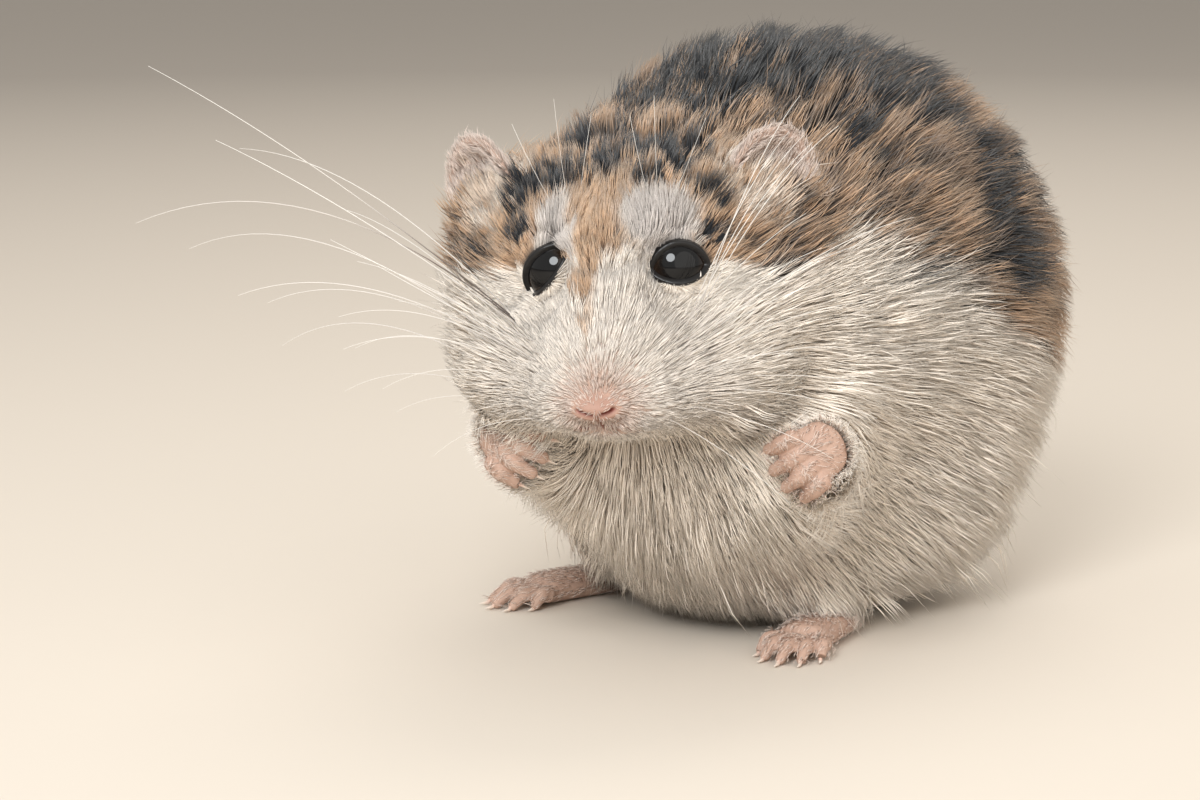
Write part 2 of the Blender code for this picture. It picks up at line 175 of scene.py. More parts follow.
def spread(values, edges, rounds, share=0.6, where=1.0):
    """Values at the points of a mesh, evened out along its edges."""
    count = len(values)
    degree = np.maximum(np.bincount(edges.ravel(), minlength=count), 1)
    flat = values.reshape(count, -1).copy()
    where = np.broadcast_to(np.asarray(where, float).reshape(-1, 1), (count, 1))
    for _ in range(rounds):
        for k in range(flat.shape[1]):
            column = flat[:, k]
            near = np.bincount(edges[:, 0], column[edges[:, 1]], count)
            near += np.bincount(edges[:, 1], column[edges[:, 0]], count)
            flat[:, k] = column + (near / degree - column) * share * where[:, 0]
    return flat.reshape(values.shape)


def largest_island(points, triangles, edges):
    """The biggest connected part of a mesh: the skin, without the hollows left inside it."""
    label = np.arange(len(points))
    while True:
        low = np.minimum(label[edges[:, 0]], label[edges[:, 1]])
        new = label.copy()
        np.minimum.at(new, edges[:, 0], low)
        np.minimum.at(new, edges[:, 1], low)
        new = new[new]
        if (new == label).all():
            break
        label = new
    keep = label == np.bincount(label).argmax()
    place = np.cumsum(keep) - 1
    return points[keep], place[triangles[keep[triangles[:, 0]]]]


# the solids, merged and a little swollen, melted into one surface
points, faces, solid_points, solid_owner = [], [], [], []
for node, (swell, _) in FLESH.items():
    work = bmesh.new()
    work.from_mesh(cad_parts[node].data)
    bmesh.ops.remove_doubles(work, verts=work.verts, dist=0.001 * mm)
    work.normal_update()
    start = len(points)
    points += [(v.co / mm + v.normal * swell)[:] for v in work.verts]
    solid_points += [(v.co / mm)[:] for v in work.verts]
    faces += [[start + v.index for v in face.verts] for face in work.faces]
    solid_owner += [NODES.index(node)] * len(work.faces)
    work.free()
solids = BVHTree.FromPolygons(solid_points, faces)
body = object_of("hide", points, faces)
melt = body.modifiers.new("melt", "REMESH")
melt.mode = "VOXEL"
melt.voxel_size = HIDE_CELL * mm
skin, triangles, edges = arrays(baked(body))
skin, triangles = largest_island(skin, triangles, edges)


def nearest_solid(points):
    """For each point, the place in NODES of the solid it lies on."""
    return np.array([solid_owner[solids.find_nearest(Vector(p))[2]] for p in points])


def part_of(*names):
    """Which points lie on some of the solids."""
    return np.isin(owner, [NODES.index(n) for n in names])


# fewer faces where fur will hide them
body = object_of("hide", skin, triangles.tolist())
owner = nearest_solid(skin)
face_zone = (in_head(skin)[:, 1] < FACE_BACK) & part_of("head")
group = body.vertex_groups.new(name="bulk")
group.add(np.flatnonzero(part_of(*BULKY) & ~face_zone).tolist(), 1.0, "REPLACE")
thin_out = body.modifiers.new("thin out", "DECIMATE")
thin_out.ratio = BODY_KEEP
thin_out.vertex_group = "bulk"
skin, triangles, edges = arrays(baked(body))

# how deep the coat is at each point
owner = nearest_solid(skin)
head = in_head(skin)
depth = np.array([FLESH[n][1] for n in NODES])[owner]
on_head = part_of("head")
face_depth = 0.4 + 1.1 * smooth_step(-7, 1, head[:, 1]) + 1.3 * smooth_step(1, 9, head[:, 1])
depth[on_head] = face_depth[on_head]
for centre in EYES.values():
    depth *= 0.22 + 0.78 * smooth_step(2.4, 5.2, gap_to(skin, centre))
pressed = smooth_step(4.5, 1.0, skin[:, 2]) * part_of("trunk", "left_thigh", "right_thigh")
depth += (BELLY_DEPTH - depth) * pressed
depth = spread(depth, edges, 40)

# thin parts keep most of their thickness
thin = ~part_of(*BULKY)
thin &= spread(thin.astype(float), edges, 8) > 0.4
normal = outward(skin, triangles)
tree = BVHTree.FromPolygons(skin.tolist(), triangles.tolist())
for index in np.flatnonzero(thin):
    inward = Vector(-normal[index])
    hit = tree.ray_cast(Vector(skin[index]) + inward * 0.02, inward)[3]
    depth[index] = min(depth[index], THIN_SHARE * (hit if hit else 0.5))
depth = np.where(thin, depth, spread(depth, edges, 4))

# the skin is evened out first, so that the edges of the solids don't fold as it sinks
eye_gap = np.minimum(*(gap_to(skin, centre) for centre in EYES.values()))
soft = ~thin * smooth_step(2.2, 3.0, eye_gap) * (0.25 + 0.75 * smooth_step(-8, -5, head[:, 1]))
soft = np.where(on_head, soft, ~thin * 0.1)
skin = spread(skin, edges, 140, 0.5, soft)
SINK_STEPS = 8
for _ in range(SINK_STEPS):
    skin -= outward(skin, triangles) * (depth / SINK_STEPS)[:, None]
    skin = spread(skin, edges, 3, 0.5, np.maximum(soft, 0.2))
skin = spread(skin, edges, 6, 0.5, 0.3)
ear_share = spread(part_of("left_ear", "right_ear").astype(float), edges, 5)
skin = spread(skin, edges, 12, 0.5, smooth_step(0.03, 0.2, ear_share) * smooth_step(0.8, 0.5, ear_share))


def relaxed(skin, edges, rounds, most):
    """Draws in the points that stick out from their neighbours by more than a share of an edge."""
    for _ in range(rounds):
        step = spread(skin, edges, 1, 1.0) - skin
        reach = gap_to(skin[edges[:, 0]], skin[edges[:, 1]])
        usual = sum(np.bincount(edges[:, k], reach, len(skin)) for k in range(2))
        usual /= np.bincount(edges.ravel(), minlength=len(skin))
        spiky = spread((np.linalg.norm(step, axis=1) > most * usual).astype(float), edges, 1)
        skin = skin + step * (0.7 * np.minimum(1, spiky * 3))[:, None]
    return skin


skin = relaxed(skin, edges, 14, 0.42)
skin[:, 2] = np.maximum(skin[:, 2], 0.02)

# fingers and toes: each a bowed row of balls, in the frame of its limb (across it, back, up)
CHEST, CHEST_TURN = np.array((3.475, -7.555, 15.5)), math.radians(24)
PAW_PLACE = (9.9, -11.1, -0.5)  # of the left forepaw, from the chest; the right one mirrors it
PAW_FINGERS, PAW_BACK = (-0.70, -0.46, -0.54), (0.42, -0.86, 0.28)
HEELS = {LEFT: np.array((8.675, 0.745, 0.0)), RIGHT: np.array((-10.125, 0.745, 0.0))}
FOOT_TURN = math.radians(14)
DIGIT_STEPS = 24
# roots (across, back, up), lengths, drop of the tips, splay for each mm across, radii
FINGERS = (((-1.5, -0.6, 0.3), (-0.5, -0.6, 0.3), (0.5, -0.6, 0.3), (1.5, -0.6, 0.3)),
           (1.6, 2.0, 2.0, 1.5), 1.2, math.radians(7), (0.60, 0.42))
TOES = (tuple((x, -7.8 + 0.3 * abs(x), 0.7) for x in (-1.6, -0.85, 0.0, 0.85, 1.6)),
        (1.7, 2.6, 2.8, 2.6, 1.6), 0.35, math.radians(10), (0.54, 0.33))
CURL = 0.35  # how far a digit's middle rises over its ends


def turned_axes(angle):
    """Across, back and up of a frame turned about the vertical."""
    along, over = math.cos(angle), math.sin(angle)
    return np.array(((along, over, 0), (-over, along, 0), (0, 0, 1)))


def digit_lines(kind, origin, axes):
    """Points along the middle of each digit of a limb, from its knuckle to its tip, and radii there."""
    roots, lengths, drop, splay, radii = kind
    share = np.linspace(0, 1, DIGIT_STEPS)
    lines = []
    for (x, y, z), long in zip(roots, lengths):
        across = x + math.sin(splay * x) * long * share
        back = y - math.cos(splay * x) * long * share
        high = z + CURL * np.sin(math.pi * share) - drop * share ** 2
        lines.append(origin + np.stack((across, back, high), 1) @ axes)
    knuckles = 0.07 * np.exp(-(((share - 0.12) / 0.14) ** 2)) + 0.05 * np.exp(-(((share - 0.6) / 0.12) ** 2))
    return lines, radii[0] + (radii[1] - radii[0]) * share ** 1.5 + knuckles


DIGITS = {}
for side, word in ((LEFT, "left"), (RIGHT, "right")):
    chest_axes = turned_axes(CHEST_TURN)
    mirror = np.array((side, 1, 1))
    rear = -unit(np.array(PAW_FINGERS) * mirror)
    top = np.array(PAW_BACK) * mirror
    top = unit(top - rear * (top @ rear))
    paw_axes = np.stack((np.cross(rear, top), rear, top)) @ chest_axes
    paw_origin = CHEST + np.array(PAW_PLACE) * mirror @ chest_axes
    DIGITS[word + "_forepaw"] = digit_lines(FINGERS, paw_origin, paw_axes)
    DIGITS[word + "_hind_foot"] = digit_lines(TOES, HEELS[side], turned_axes(side * FOOT_TURN))

# finer faces round the eyes, nose, mouth, fingers and toes
SNOUT = from_head((-0.1, -9.8, -5.4))
DIGIT_SPOTS = [(line[DIGIT_STEPS // 2], 2.0) for lines, _ in DIGITS.values() for line in lines]
FINE_SPOTS = (
    [(centre, 3.0) for centre in EYES.values()] + [(SNOUT, 3.4)] + DIGIT_SPOTS,
    [(centre, 2.5) for centre in EYES.values()] + [(SNOUT, 2.2)],
)


def within(points, spots):
    """How far each point lies inside the nearest of some balls: less than 0 outside them all."""
    return np.max([reach - gap_to(points, centre) for centre, reach in spots], axis=0)


for spots in FINE_SPOTS:
    work = bmesh.new()
    corners = [work.verts.new(p) for p in skin]
    for t in triangles.tolist():
        work.faces.new([corners[k] for k in t])
    work.verts.index_update()
    near = within(skin, spots) > 0
    cut = [e for e in work.edges if near[e.verts[0].index] and near[e.verts[1].index]]
    bmesh.ops.subdivide_edges(work, edges=cut, cuts=1)
    mesh = bpy.data.meshes.new("finer")
    work.to_mesh(mesh)
    work.free()
    mesh.transform(Matrix.Scale(mm, 4))
    skin, triangles, edges = arrays(mesh)
    bpy.data.meshes.remove(mesh)
    skin = spread(skin, edges, 4, 0.5, smooth_step(-0.3, 0.3, within(skin, spots)))

# each digit drawn out round, with a crease where it meets the next
for skin_share in (0.8, 0.0):  # how much the push follows the skin's own normal
    normal = outward(skin, triangles)
    for lines, radii in DIGITS.values():
        balls = KDTree(len(lines) * DIGIT_STEPS)
        for place, spot in enumerate(np.concatenate(lines)):
            balls.insert(Vector(spot), place)
        balls.balance()
        for index in np.flatnonzero(within(skin, [(line[DIGIT_STEPS // 2], 2.6) for line in lines]) > 0):
            spot, place, gap = balls.find(Vector(skin[index]))
            step = place % DIGIT_STEPS
            off = radii[step] - gap
            hold = min(1.0, step / 5) * max(0.0, min(1.0, (0.75 - abs(off)) / 0.3))
            way = (skin[index] - np.array(spot)) / max(gap, 1e-6) + skin_share * normal[index]
            skin[index] += unit(way) * off * hold
    skin = spread(skin, edges, 2, 0.4, smooth_step(0, 0.5, within(skin, DIGIT_SPOTS)))
skin = relaxed(skin, edges, 6, 0.42)
skin[:, 2] = np.maximum(skin[:, 2], 0.02)

# eyelids: the skin round each eyeball is drawn to it, with a rolled rim round an almond opening
EYE_RADIUS = 2.05
LID_AXIS = (0.34, -0.89, 0.31)  # of the left eye's opening, in the head's frame
LID_TILT = {LEFT: math.radians(2), RIGHT: math.radians(-47)}  # how much higher the outer corner is
LID_SHAPE = {LEFT: (1.62, 1.26, 0.78), RIGHT: (1.78, 0.88, 0.74)}  # half length, above, below
LID_RIM, CORNER_RIM = 0.26, 0.55  # width of the dark rim, and at the inner corner of the eye
DISH_START, DISH_DEPTH, DISH_SLOPE, DISH_CURVE = 2.0, 1.05, 0.5, 0.42
lid_edge = np.full(len(skin), 9.0)  # how far each point lies outside the nearer opening
lid_rim = np.full(len(skin), LID_RIM)


def eye_axes(side):
    """Directions from an eyeball's middle: to the outer corner, up, and straight out."""
    out = unit(np.array((side * LID_AXIS[0], *LID_AXIS[1:])) @ HEAD_AXES)
    long_way = unit(side * ACROSS - out * (side * ACROSS @ out))
    high_way = np.cross(out, long_way) * side
    turned = long_way * math.cos(LID_TILT[side]) + high_way * math.sin(LID_TILT[side])
    return turned, np.cross(out, turned) * side, out


def opening_reach(turn, side):
    """How far from its middle the opening reaches at an angle, along the eyeball."""
    half_length, over, under = LID_SHAPE[side]
    high = np.where(np.sin(turn) > 0, over, under)
    across, upward = np.abs(np.cos(turn)) / half_length, np.abs(np.sin(turn))
    oval = 1 / np.sqrt(across ** 2 + (upward / high) ** 2)
    leaf = 2 * high / (upward + np.sqrt(upward ** 2 + 4 * (high * across) ** 2))
    return EYE_RADIUS * np.arcsin((0.5 * oval + 0.5 * leaf) / EYE_RADIUS)


for side, centre in EYES.items():
    long_way, high_way, out = eye_axes(side)
    # a shallow dish, so that the bridge of the nose doesn't stand before the eye
    away = skin - centre
    height = away @ out
    aside = np.linalg.norm(away - height[:, None] * out, axis=1)
    past = np.maximum(0, aside - DISH_START)
    limit = DISH_DEPTH + DISH_SLOPE * past + DISH_CURVE * past ** 2
    sink = np.maximum(0, height - limit) * smooth_step(-1.0, 0.5, height)
    skin -= out * sink[:, None]
    away = skin - centre
    gap = np.linalg.norm(away, axis=1)
    turn = np.arctan2(away @ high_way, away @ long_way)
    arc = EYE_RADIUS * np.arccos(np.clip((away @ out) / np.maximum(gap, 1e-6), -1, 1))
    beyond = arc - opening_reach(turn, side)
    near = gap < 4.5
    rim = 0.17 * smooth_step(-0.12, 0.06, beyond) - 0.25 * smooth_step(0, -0.2, beyond)
    rolled = EYE_RADIUS + 0.03 + rim + 0.10 * np.exp(-(((beyond - 0.16) / 0.14) ** 2))
    draw = smooth_step(2.0, 0.35, beyond) * smooth_step(4.2, 3.1, gap)
    skin += unit(away) * ((rolled - gap) * draw)[:, None]
    lid_edge = np.where(near, np.minimum(lid_edge, beyond), lid_edge)
    at_corner = smooth_step(-0.7, -0.95, np.cos(turn))
    above = smooth_step(0.1, 0.7, np.sin(turn))
    wider = (CORNER_RIM - LID_RIM) * at_corner + 0.18 * above
    lid_rim = np.where(near, (LID_RIM + wider) * smooth_step(3.3, 2.9, gap) - 0.4 * (gap > 3.1), lid_rim)
skin = spread(skin, edges, 24, 0.5, smooth_step(0.35, 0.7, lid_edge) * smooth_step(3.4, 2.2, lid_edge))
skin = spread(skin, edges, 60, 0.5, smooth_step(0.8, 1.4, lid_edge) * smooth_step(4.0, 2.6, lid_edge))
for side, centre in EYES.items():
    away = skin - centre
    gap = gap_to(skin, centre)
    short_by = np.maximum(0, EYE_RADIUS + 0.12 - gap) * smooth_step(0.05, 0.2, lid_edge) * (gap > 0.5)
    skin += unit(away) * short_by[:, None]

# nostrils, the groove under them and the line of the mouth, pressed in along the head's back
GROOVES = {  # points in the head's frame, half width, depth
    "nostril": (((0.4, -11.0, -5.4), (0.85, -10.8, -5.2), (1.2, -10.4, -4.8)), 0.22, 0.45),
    "philtrum": (((-0.1, -11.0, -5.5), (-0.1, -10.2, -6.0), (-0.1, -9.7, -6.35)), 0.15, 0.2),
    "mouth": (((-0.1, -9.6, -6.6), (1.2, -9.2, -6.8), (2.3, -7.8, -6.9), (3.1, -6.0, -6.7)), 0.2, 0.3),
}


def along_points(corners, count=120):
    """Points spaced along a bent line."""
    corners = np.asarray(corners, float)
    place = np.linspace(0, len(corners) - 1, count)
    return np.stack([np.interp(place, range(len(corners)), corners[:, k]) for k in range(3)], 1)


NOSE_MIDDLE = np.array((-0.1, -9.9, -4.9))
head = in_head(skin)
around = smooth_step(3.0, 2.2, gap_to(head, (-0.1, -9.3, -4.4)))
skin = spread(skin, edges, 60, 0.5, around * smooth_step(-6.4, -5.6, head[:, 2]) * 0.8)
head = in_head(skin)
broad = smooth_step(2.7, 0.9, gap_to(head, NOSE_MIDDLE))[:, None]
skin = from_head(head + broad * ((head - NOSE_MIDDLE) * (0.38, 0, -0.1) + (0, 0.3, 0)))
groove = np.zeros(len(skin))
head = in_head(skin)
skin_now = BVHTree.FromPolygons(skin.tolist(), triangles.tolist())
for corners, half_width, deep in GROOVES.values():
    for side in (LEFT, RIGHT):
        line = along_points(corners)
        line[:, 0] = np.abs(line[:, 0] + 0.1) * side - 0.1
        line = in_head(np.array([skin_now.find_nearest(Vector(p))[0] for p in from_head(line)]))
        near = np.flatnonzero(gap_to(head, line.mean(0)) < 4)
        gap = np.min(np.linalg.norm(head[near, None, :] - line[None], axis=2), axis=1)
        groove[near] = np.maximum(groove[near], deep * np.exp(-((gap / half_width) ** 2)))
skin -= outward(skin, triangles) * groove[:, None]

# where each point belongs, for the coat and the markings
owner = nearest_solid(skin)
normal = outward(skin, triangles)
head = in_head(skin)
side_of = np.where(head[:, 0] > 0, LEFT, RIGHT)


on_head = part_of("head", "nose", "left_eye", "right_eye")
on_ear = part_of("left_ear", "right_ear")
on_paw = part_of("left_forepaw", "right_forepaw")
on_foot = part_of("left_hind_foot", "right_hind_foot")
on_leg = part_of("left_foreleg", "right_foreleg")
on_tail = part_of("tail")
from_nose = gap_to(skin, from_head((-0.1, -10.2, -4.8)))


def patch(points, centre, radii, soft=0.4):
    """A soft-edged ellipsoid mark: 1 inside, 0 outside."""
    away = np.linalg.norm((points - np.asarray(centre)) / np.asarray(radii), axis=1)
    return smooth_step(1 + soft, 1 - soft, away)


def mottle(points, stretch, seed):
    """Smooth noise from about -1 to 1."""
    scaled = points / np.asarray(stretch) + seed * 17.3
    return np.array([noise.noise(Vector(p)) for p in scaled])


NOSE_TIP = from_head((-0.1, -10.6, -4.6))

# which way the hair lies at each point
lie = unit(skin - NOSE_TIP)
fall = 0.30 * smooth_step(25, 12, skin[:, 2]) + 0.75 * smooth_step(2, 24, skin[:, 1])
fall = np.where(on_head, 0.30 * smooth_step(0, -7, head[:, 2]) * smooth_step(-6, 0, head[:, 1]), fall)
lie[:, 2] -= fall
for side, centre in EYES.items():
    out = eye_axes(side)[2]
    away = skin - centre
    away = unit(away - (away @ out)[:, None] * out)
    near = smooth_step(3.2, 0.2, lid_edge) * (side_of == side)
    lie += away * (near * 0.9)[:, None]
for side, word in ((LEFT, "left_"), (RIGHT, "right_")):
    here = np.where(skin[:, 0] > 0, LEFT, RIGHT) == side
    paw_here = np.where(head[:, 0] > -1, LEFT, RIGHT) == side
    lie[(on_paw | on_leg) & paw_here] = unit(middle(word + "forepaw") - middle(word + "foreleg"))
    lie[on_foot & here] = (0.24 * side, -0.97, -0.05)
    lie[on_ear & paw_here] = unit(np.array((side * 0.35, 0.45, 0.85)) @ HEAD_AXES)
lie[on_tail] = unit(np.array((-0.4, 3.7, -2.0)))
lie = spread(lie, edges, 24, 0.6, np.where(on_head & (from_nose < 6), 0.15, 1.0))
lie = unit(lie - (np.sum(lie * normal, 1))[:, None] * normal)

# length of the hair at each point
BODY_HAIR, LEG_HAIR, PAW_HAIR, FOOT_HAIR, EAR_HAIR, TAIL_HAIR = 6.6, 3.1, 0.9, 0.8, 0.9, 1.2
# how far from the nose, or how far back on top of the face, and the length there
HEAD_HAIR = ((0.8, 1.6, 3, 5, 8, 12, 16, 20), (0.3, 0.6, 1.2, 2.1, 3.2, 4.4, 5.3, 5.8))
NOSE_HAIR = ((0.8, 1.6, 3), (0.28, 0.55, 1.2))
FROM_LID, LID_HAIR = (0.25, 0.8, 1.6, 3.0), ((0.7, 1.4, 2.4, 3.6), (1.1, 1.7, 2.2, 3.5))
BROW_HAIR = ((-8, -4, 0, 3, 6, 10), (0.7, 1.2, 2.0, 3.0, 4.2, 5.2))
length = np.where(on_head, np.interp(from_nose, *HEAD_HAIR), BODY_HAIR)
top_of_face = on_head & (head[:, 2] > 0.3) & (np.abs(head[:, 0]) < 7)
length = np.where(top_of_face, np.minimum(length, np.interp(head[:, 1], *BROW_HAIR)), length)
for side, centre in EYES.items():
    over = smooth_step(-0.2, 1.0, (skin - centre) @ UP) * (side_of == side)
    under, above = (np.interp(lid_edge, FROM_LID, lengths) for lengths in LID_HAIR)
    close = (lid_edge < 4) & (side_of == side)
    length = np.where(close, np.minimum(length, under + (above - under) * over), length)
for side, name in ((LEFT, "left_ear"), (RIGHT, "right_ear")):
    ear_gap = gap_to(skin, middle(name))
    before = smooth_step(1.5, -1.0, (skin - middle(name)) @ BACK)
    length = np.where(on_head, length * (1 - 0.7 * smooth_step(5.8, 3.2, ear_gap) * before), length)
length = np.where(on_leg, LEG_HAIR, length)
for where, value in ((on_paw, PAW_HAIR), (on_foot, FOOT_HAIR), (on_ear, EAR_HAIR), (on_tail, TAIL_HAIR)):
    length = np.where(where, value, length)
length = spread(length, edges, 16, 0.6)
by_nose = on_head & (from_nose < 3)
length = np.where(by_nose, np.minimum(length, np.interp(from_nose, *NOSE_HAIR)), length)

# markings: how far each point's hair is dark, tan, or the pale grey of the brows
surface = np.array([solids.find_nearest(Vector(p))[0] for p in skin])
shown = surface + lie * (0.55 * length)[:, None]
mirrored = shown.copy()
mirrored[:, 0] = np.abs(mirrored[:, 0])
shown_head = in_head(shown)
face = shown_head.copy()
face[:, 0] = np.abs(face[:, 0] + 0.1)
blotch = mottle(shown, (3.4, 6.5, 3.4), 1)
streak = mottle(shown, (1.4, 4.2, 1.4), 2)
fleck = mottle(shown, (0.7, 1.8, 0.7), 3)
TAN_EDGE = ((-20, -12, -3, 3, 6, 9, 14, 20, 27), (26.0, 26.0, 26.6, 25.8, 23.0, 20.0, 17.2, 16.4, 16.6))
edge_height = np.interp(shown[:, 1], *TAN_EDGE) + 1.6 * streak + 0.8 * blotch
body_tan = smooth_step(-2.4, 2.2, shown[:, 2] - edge_height)
FACE_EDGE = ((-6, -2.5, 0.5, 3, 8), (3.4, 2.0, 0.0, -1.6, -2.0))
face_height = np.interp(face[:, 1], *FACE_EDGE) + 0.6 * streak
face_tan = smooth_step(-0.7, 0.7, face[:, 2] - face_height)
stripe_half = np.interp(face[:, 1], (-8.4, -7, -5, -3, -0.5, 2), (-0.3, 0.15, 0.5, 1.0, 1.6, 2.1))
from_stripe = np.abs(shown_head[:, 0] + 0.9) - stripe_half
stripe = smooth_step(0.8, -0.8, from_stripe + 0.4 * streak) * smooth_step(-8.6, -7.6, face[:, 1])
stripe *= smooth_step(3.4, 1.4, face[:, 1]) * (face[:, 2] > -3)
BROWS = {LEFT: ((3.2, -0.6, 3.4), (2.9, 2.9, 2.4)), RIGHT: ((-3.2, -0.8, 3.2), (1.7, 2.7, 2.4))}
brow = np.maximum(*(patch(shown_head, *ball, 0.35) for ball in BROWS.values()))
brow *= smooth_step(-0.3, 0.4, from_stripe)
FACE_DARKS = {
    "behind the eye": ((6.0, 1.2, 2.6), (1.1, 1.2, 1.5), 0.85),
    "before the ear": ((6.0, 3.4, 4.3), (1.0, 2.4, 1.3), 0.75),
    "crown": ((0.0, 3.4, 5.8), (5.8, 1.7, 2.2), 0.72),
    "crown side": ((4.6, 3.7, 5.2), (2.4, 1.9, 2.2), 0.95),
    "back of the crown": ((0.0, 8.0, 6.4), (7.0, 3.6, 2.6), 0.6),
    "temple": ((10.2, 2.2, 0.6), (2.4, 1.6, 0.5), 0.6),
}
BODY_DARKS = {
    "behind the ear": ((10.9, -4.6, 32.0), (2.6, 5.0, 2.6)),
    "neck": ((3.4, -9.6, 34.6), (5.0, 2.6, 3.0)),
    "shoulders": ((1.4, -3.4, 37.0), (6.5, 4.6, 3.5)),
    "back": ((6.4, 3.6, 37.0), (4.2, 3.2, 3.0)),
    "loin": ((9.6, 8.4, 35.0), (3.0, 3.4, 3.0)),
    "hip": ((12.2, 11.4, 32.0), (2.6, 3.0, 4.2)),
    "flank": ((15.2, 10.6, 26.6), (2.4, 2.6, 3.8)),
    "rump": ((9.0, 19.0, 27.0), (4.0, 3.5, 5.0)),
}
SHOULDER_SPOT = ((15.4, -1.6, 26.0), (2.6, 4.0, 1.6))
dark = np.zeros(len(skin))
for centre, radii, most in FACE_DARKS.values():
    dark = np.maximum(dark, most * patch(face, centre, radii, 0.6) * on_head)
for centre, radii in BODY_DARKS.values():
    dark = np.maximum(dark, patch(mirrored, centre, radii, 0.5) * ~on_head)
ridge = smooth_step(9.5, 4.0, np.abs(shown[:, 0] + 0.3)) * smooth_step(27, 34, shown[:, 2])
tan = np.where(on_head, np.maximum(face_tan * (1 - brow), stripe), body_tan)
dark = np.maximum(dark, 0.85 * ridge * ~on_head)
dark = np.clip(dark * (1.0 + 0.9 * streak + 0.5 * fleck), 0, 1)
dark = np.maximum(dark, smooth_step(0.22, 0.5, blotch * 0.7 + streak * 0.6) * tan * 0.85 * ~on_head)
dark *= tan
shoulder = patch(mirrored, *SHOULDER_SPOT, 0.5) * ~on_head * np.clip(0.9 + 0.5 * streak, 0, 1)
tan, dark = np.maximum(tan, shoulder), np.maximum(dark, 0.95 * shoulder)
brow = np.maximum(brow, 0.32 * smooth_step(10, 6, from_nose) * (1 - stripe)) * on_head
for plain, share in ((on_ear, 0.0), (on_paw, 0.0), (on_foot, 0.0), (on_leg, 0.15), (on_tail, 0.0)):
    tan, dark, brow = (np.where(plain, value * share, value) for value in (tan, dark, brow))
brow = np.where(on_ear, 0.5, brow)
for name in ("left_ear", "right_ear"):
    by_ear = smooth_step(1.0, 0.55, gap_to(shown / 3.9, (middle(name) - 0.8 * BACK) / 3.9)) * on_head
    tan, dark, brow = (value * (1 - 0.5 * by_ear) for value in (tan, dark, brow))
pink = smooth_step(3.4, 1.4, from_nose) * on_head + 1.0 * (on_paw | on_foot | on_tail) + 0.8 * on_ear
hide = object_of("hide", skin, triangles.tolist())
hide.data.shade_smooth()

# the unwrap that the skin and every tuft share
bpy.context.view_layer.objects.active = hide
hide.select_set(True)
bpy.ops.object.mode_set(mode="EDIT")
bpy.ops.mesh.select_all(action="SELECT")
bpy.ops.uv.smart_project(angle_limit=math.radians(75), island_margin=0.004)
bpy.ops.object.mode_set(mode="OBJECT")
hide.select_set(False)
hide.data.uv_layers[0].name = "OFBake"
unwrap = np.empty(len(hide.data.loops) * 2, np.float32)
hide.data.uv_layers["OFBake"].data.foreach_get("uv", unwrap)
unwrap = unwrap.reshape(-1, 3, 2)


def store(mesh, name, values):
    """Keeps one number or one vector for each point of a mesh, for its material to read."""
    values = np.asarray(values, np.float32)
    kind, field = ("FLOAT", "value") if values.ndim == 1 else ("FLOAT_VECTOR", "vector")
    mesh.attributes.new(name, kind, "POINT").data.foreach_set(field, values.ravel())


tint = np.stack((dark, tan, brow), 1)
store(hide.data, "tint", tint)
shown_pink = np.maximum(pink, 0.75 * smooth_step(6.5, 3.5, from_nose) * on_head)
store(hide.data, "pink", np.maximum(shown_pink, smooth_step(0.02, 0.1, groove)))
store(hide.data, "lid", smooth_step(0.12, -0.08, lid_edge - lid_rim))
# the depth of the grooves, which the hide darkens as painted shade, and a little round the tip of the nose
store(hide.data, "groove", np.maximum(groove, 0.10 * smooth_step(2.0, 0.7, from_nose)))


def add(tree, kind, inputs=(), **settings):
    """A new node with its settings. Its inputs, by name or number, are set or linked to."""
    made = tree.nodes.new(kind)
    for name, value in settings.items():
        setattr(made, name, value)
    for name, value in dict(inputs).items():
        named = [i for i in made.inputs if i.enabled and i.name == name]
        socket = named[0] if named else made.inputs[name]
        if isinstance(value, bpy.types.NodeSocket):
            tree.links.new(value, socket)
        elif isinstance(value, tuple):
            socket.default_value = (*value, 1)
        else:
            socket.default_value = value
    return made


def mix_colour(tree, share, first, second):
    """The colour that goes from the first to the second by share."""
    return add(tree, "ShaderNodeMix", {0: share, 6: first, 7: second}, data_type="RGBA").outputs[2]


def maths(tree, operation, first, second):
    return add(tree, "ShaderNodeMath", {0: first, 1: second}, operation=operation).outputs[0]


def graded(tree, value, *stops):
    """A colour ramp."""
    node = add(tree, "ShaderNodeValToRGB", {0: value})
    ramp = node.color_ramp
    while len(ramp.elements) < len(stops):
        ramp.elements.new(0.5)
    for element, (place, colour) in zip(ramp.elements, stops):
        element.position = place
        element.color = (*colour, 1)
    return node.outputs[0]


def noise_at(tree, scale, detail=2.0):
    """Noise from 0 to 1 at each place on the object."""
    place = add(tree, "ShaderNodeTexCoord").outputs["Object"]
    wanted = {"Vector": place, "Scale": scale, "Detail": detail}
    return add(tree, "ShaderNodeTexNoise", wanted).outputs["Fac"]


BLUSH = 0.45  # how much flesh shows through the hair where the skin is pink
TONE_LOW, TONE_RANGE = 0.72, 0.5  # brightness of the darkest hairs, and how much more the palest have


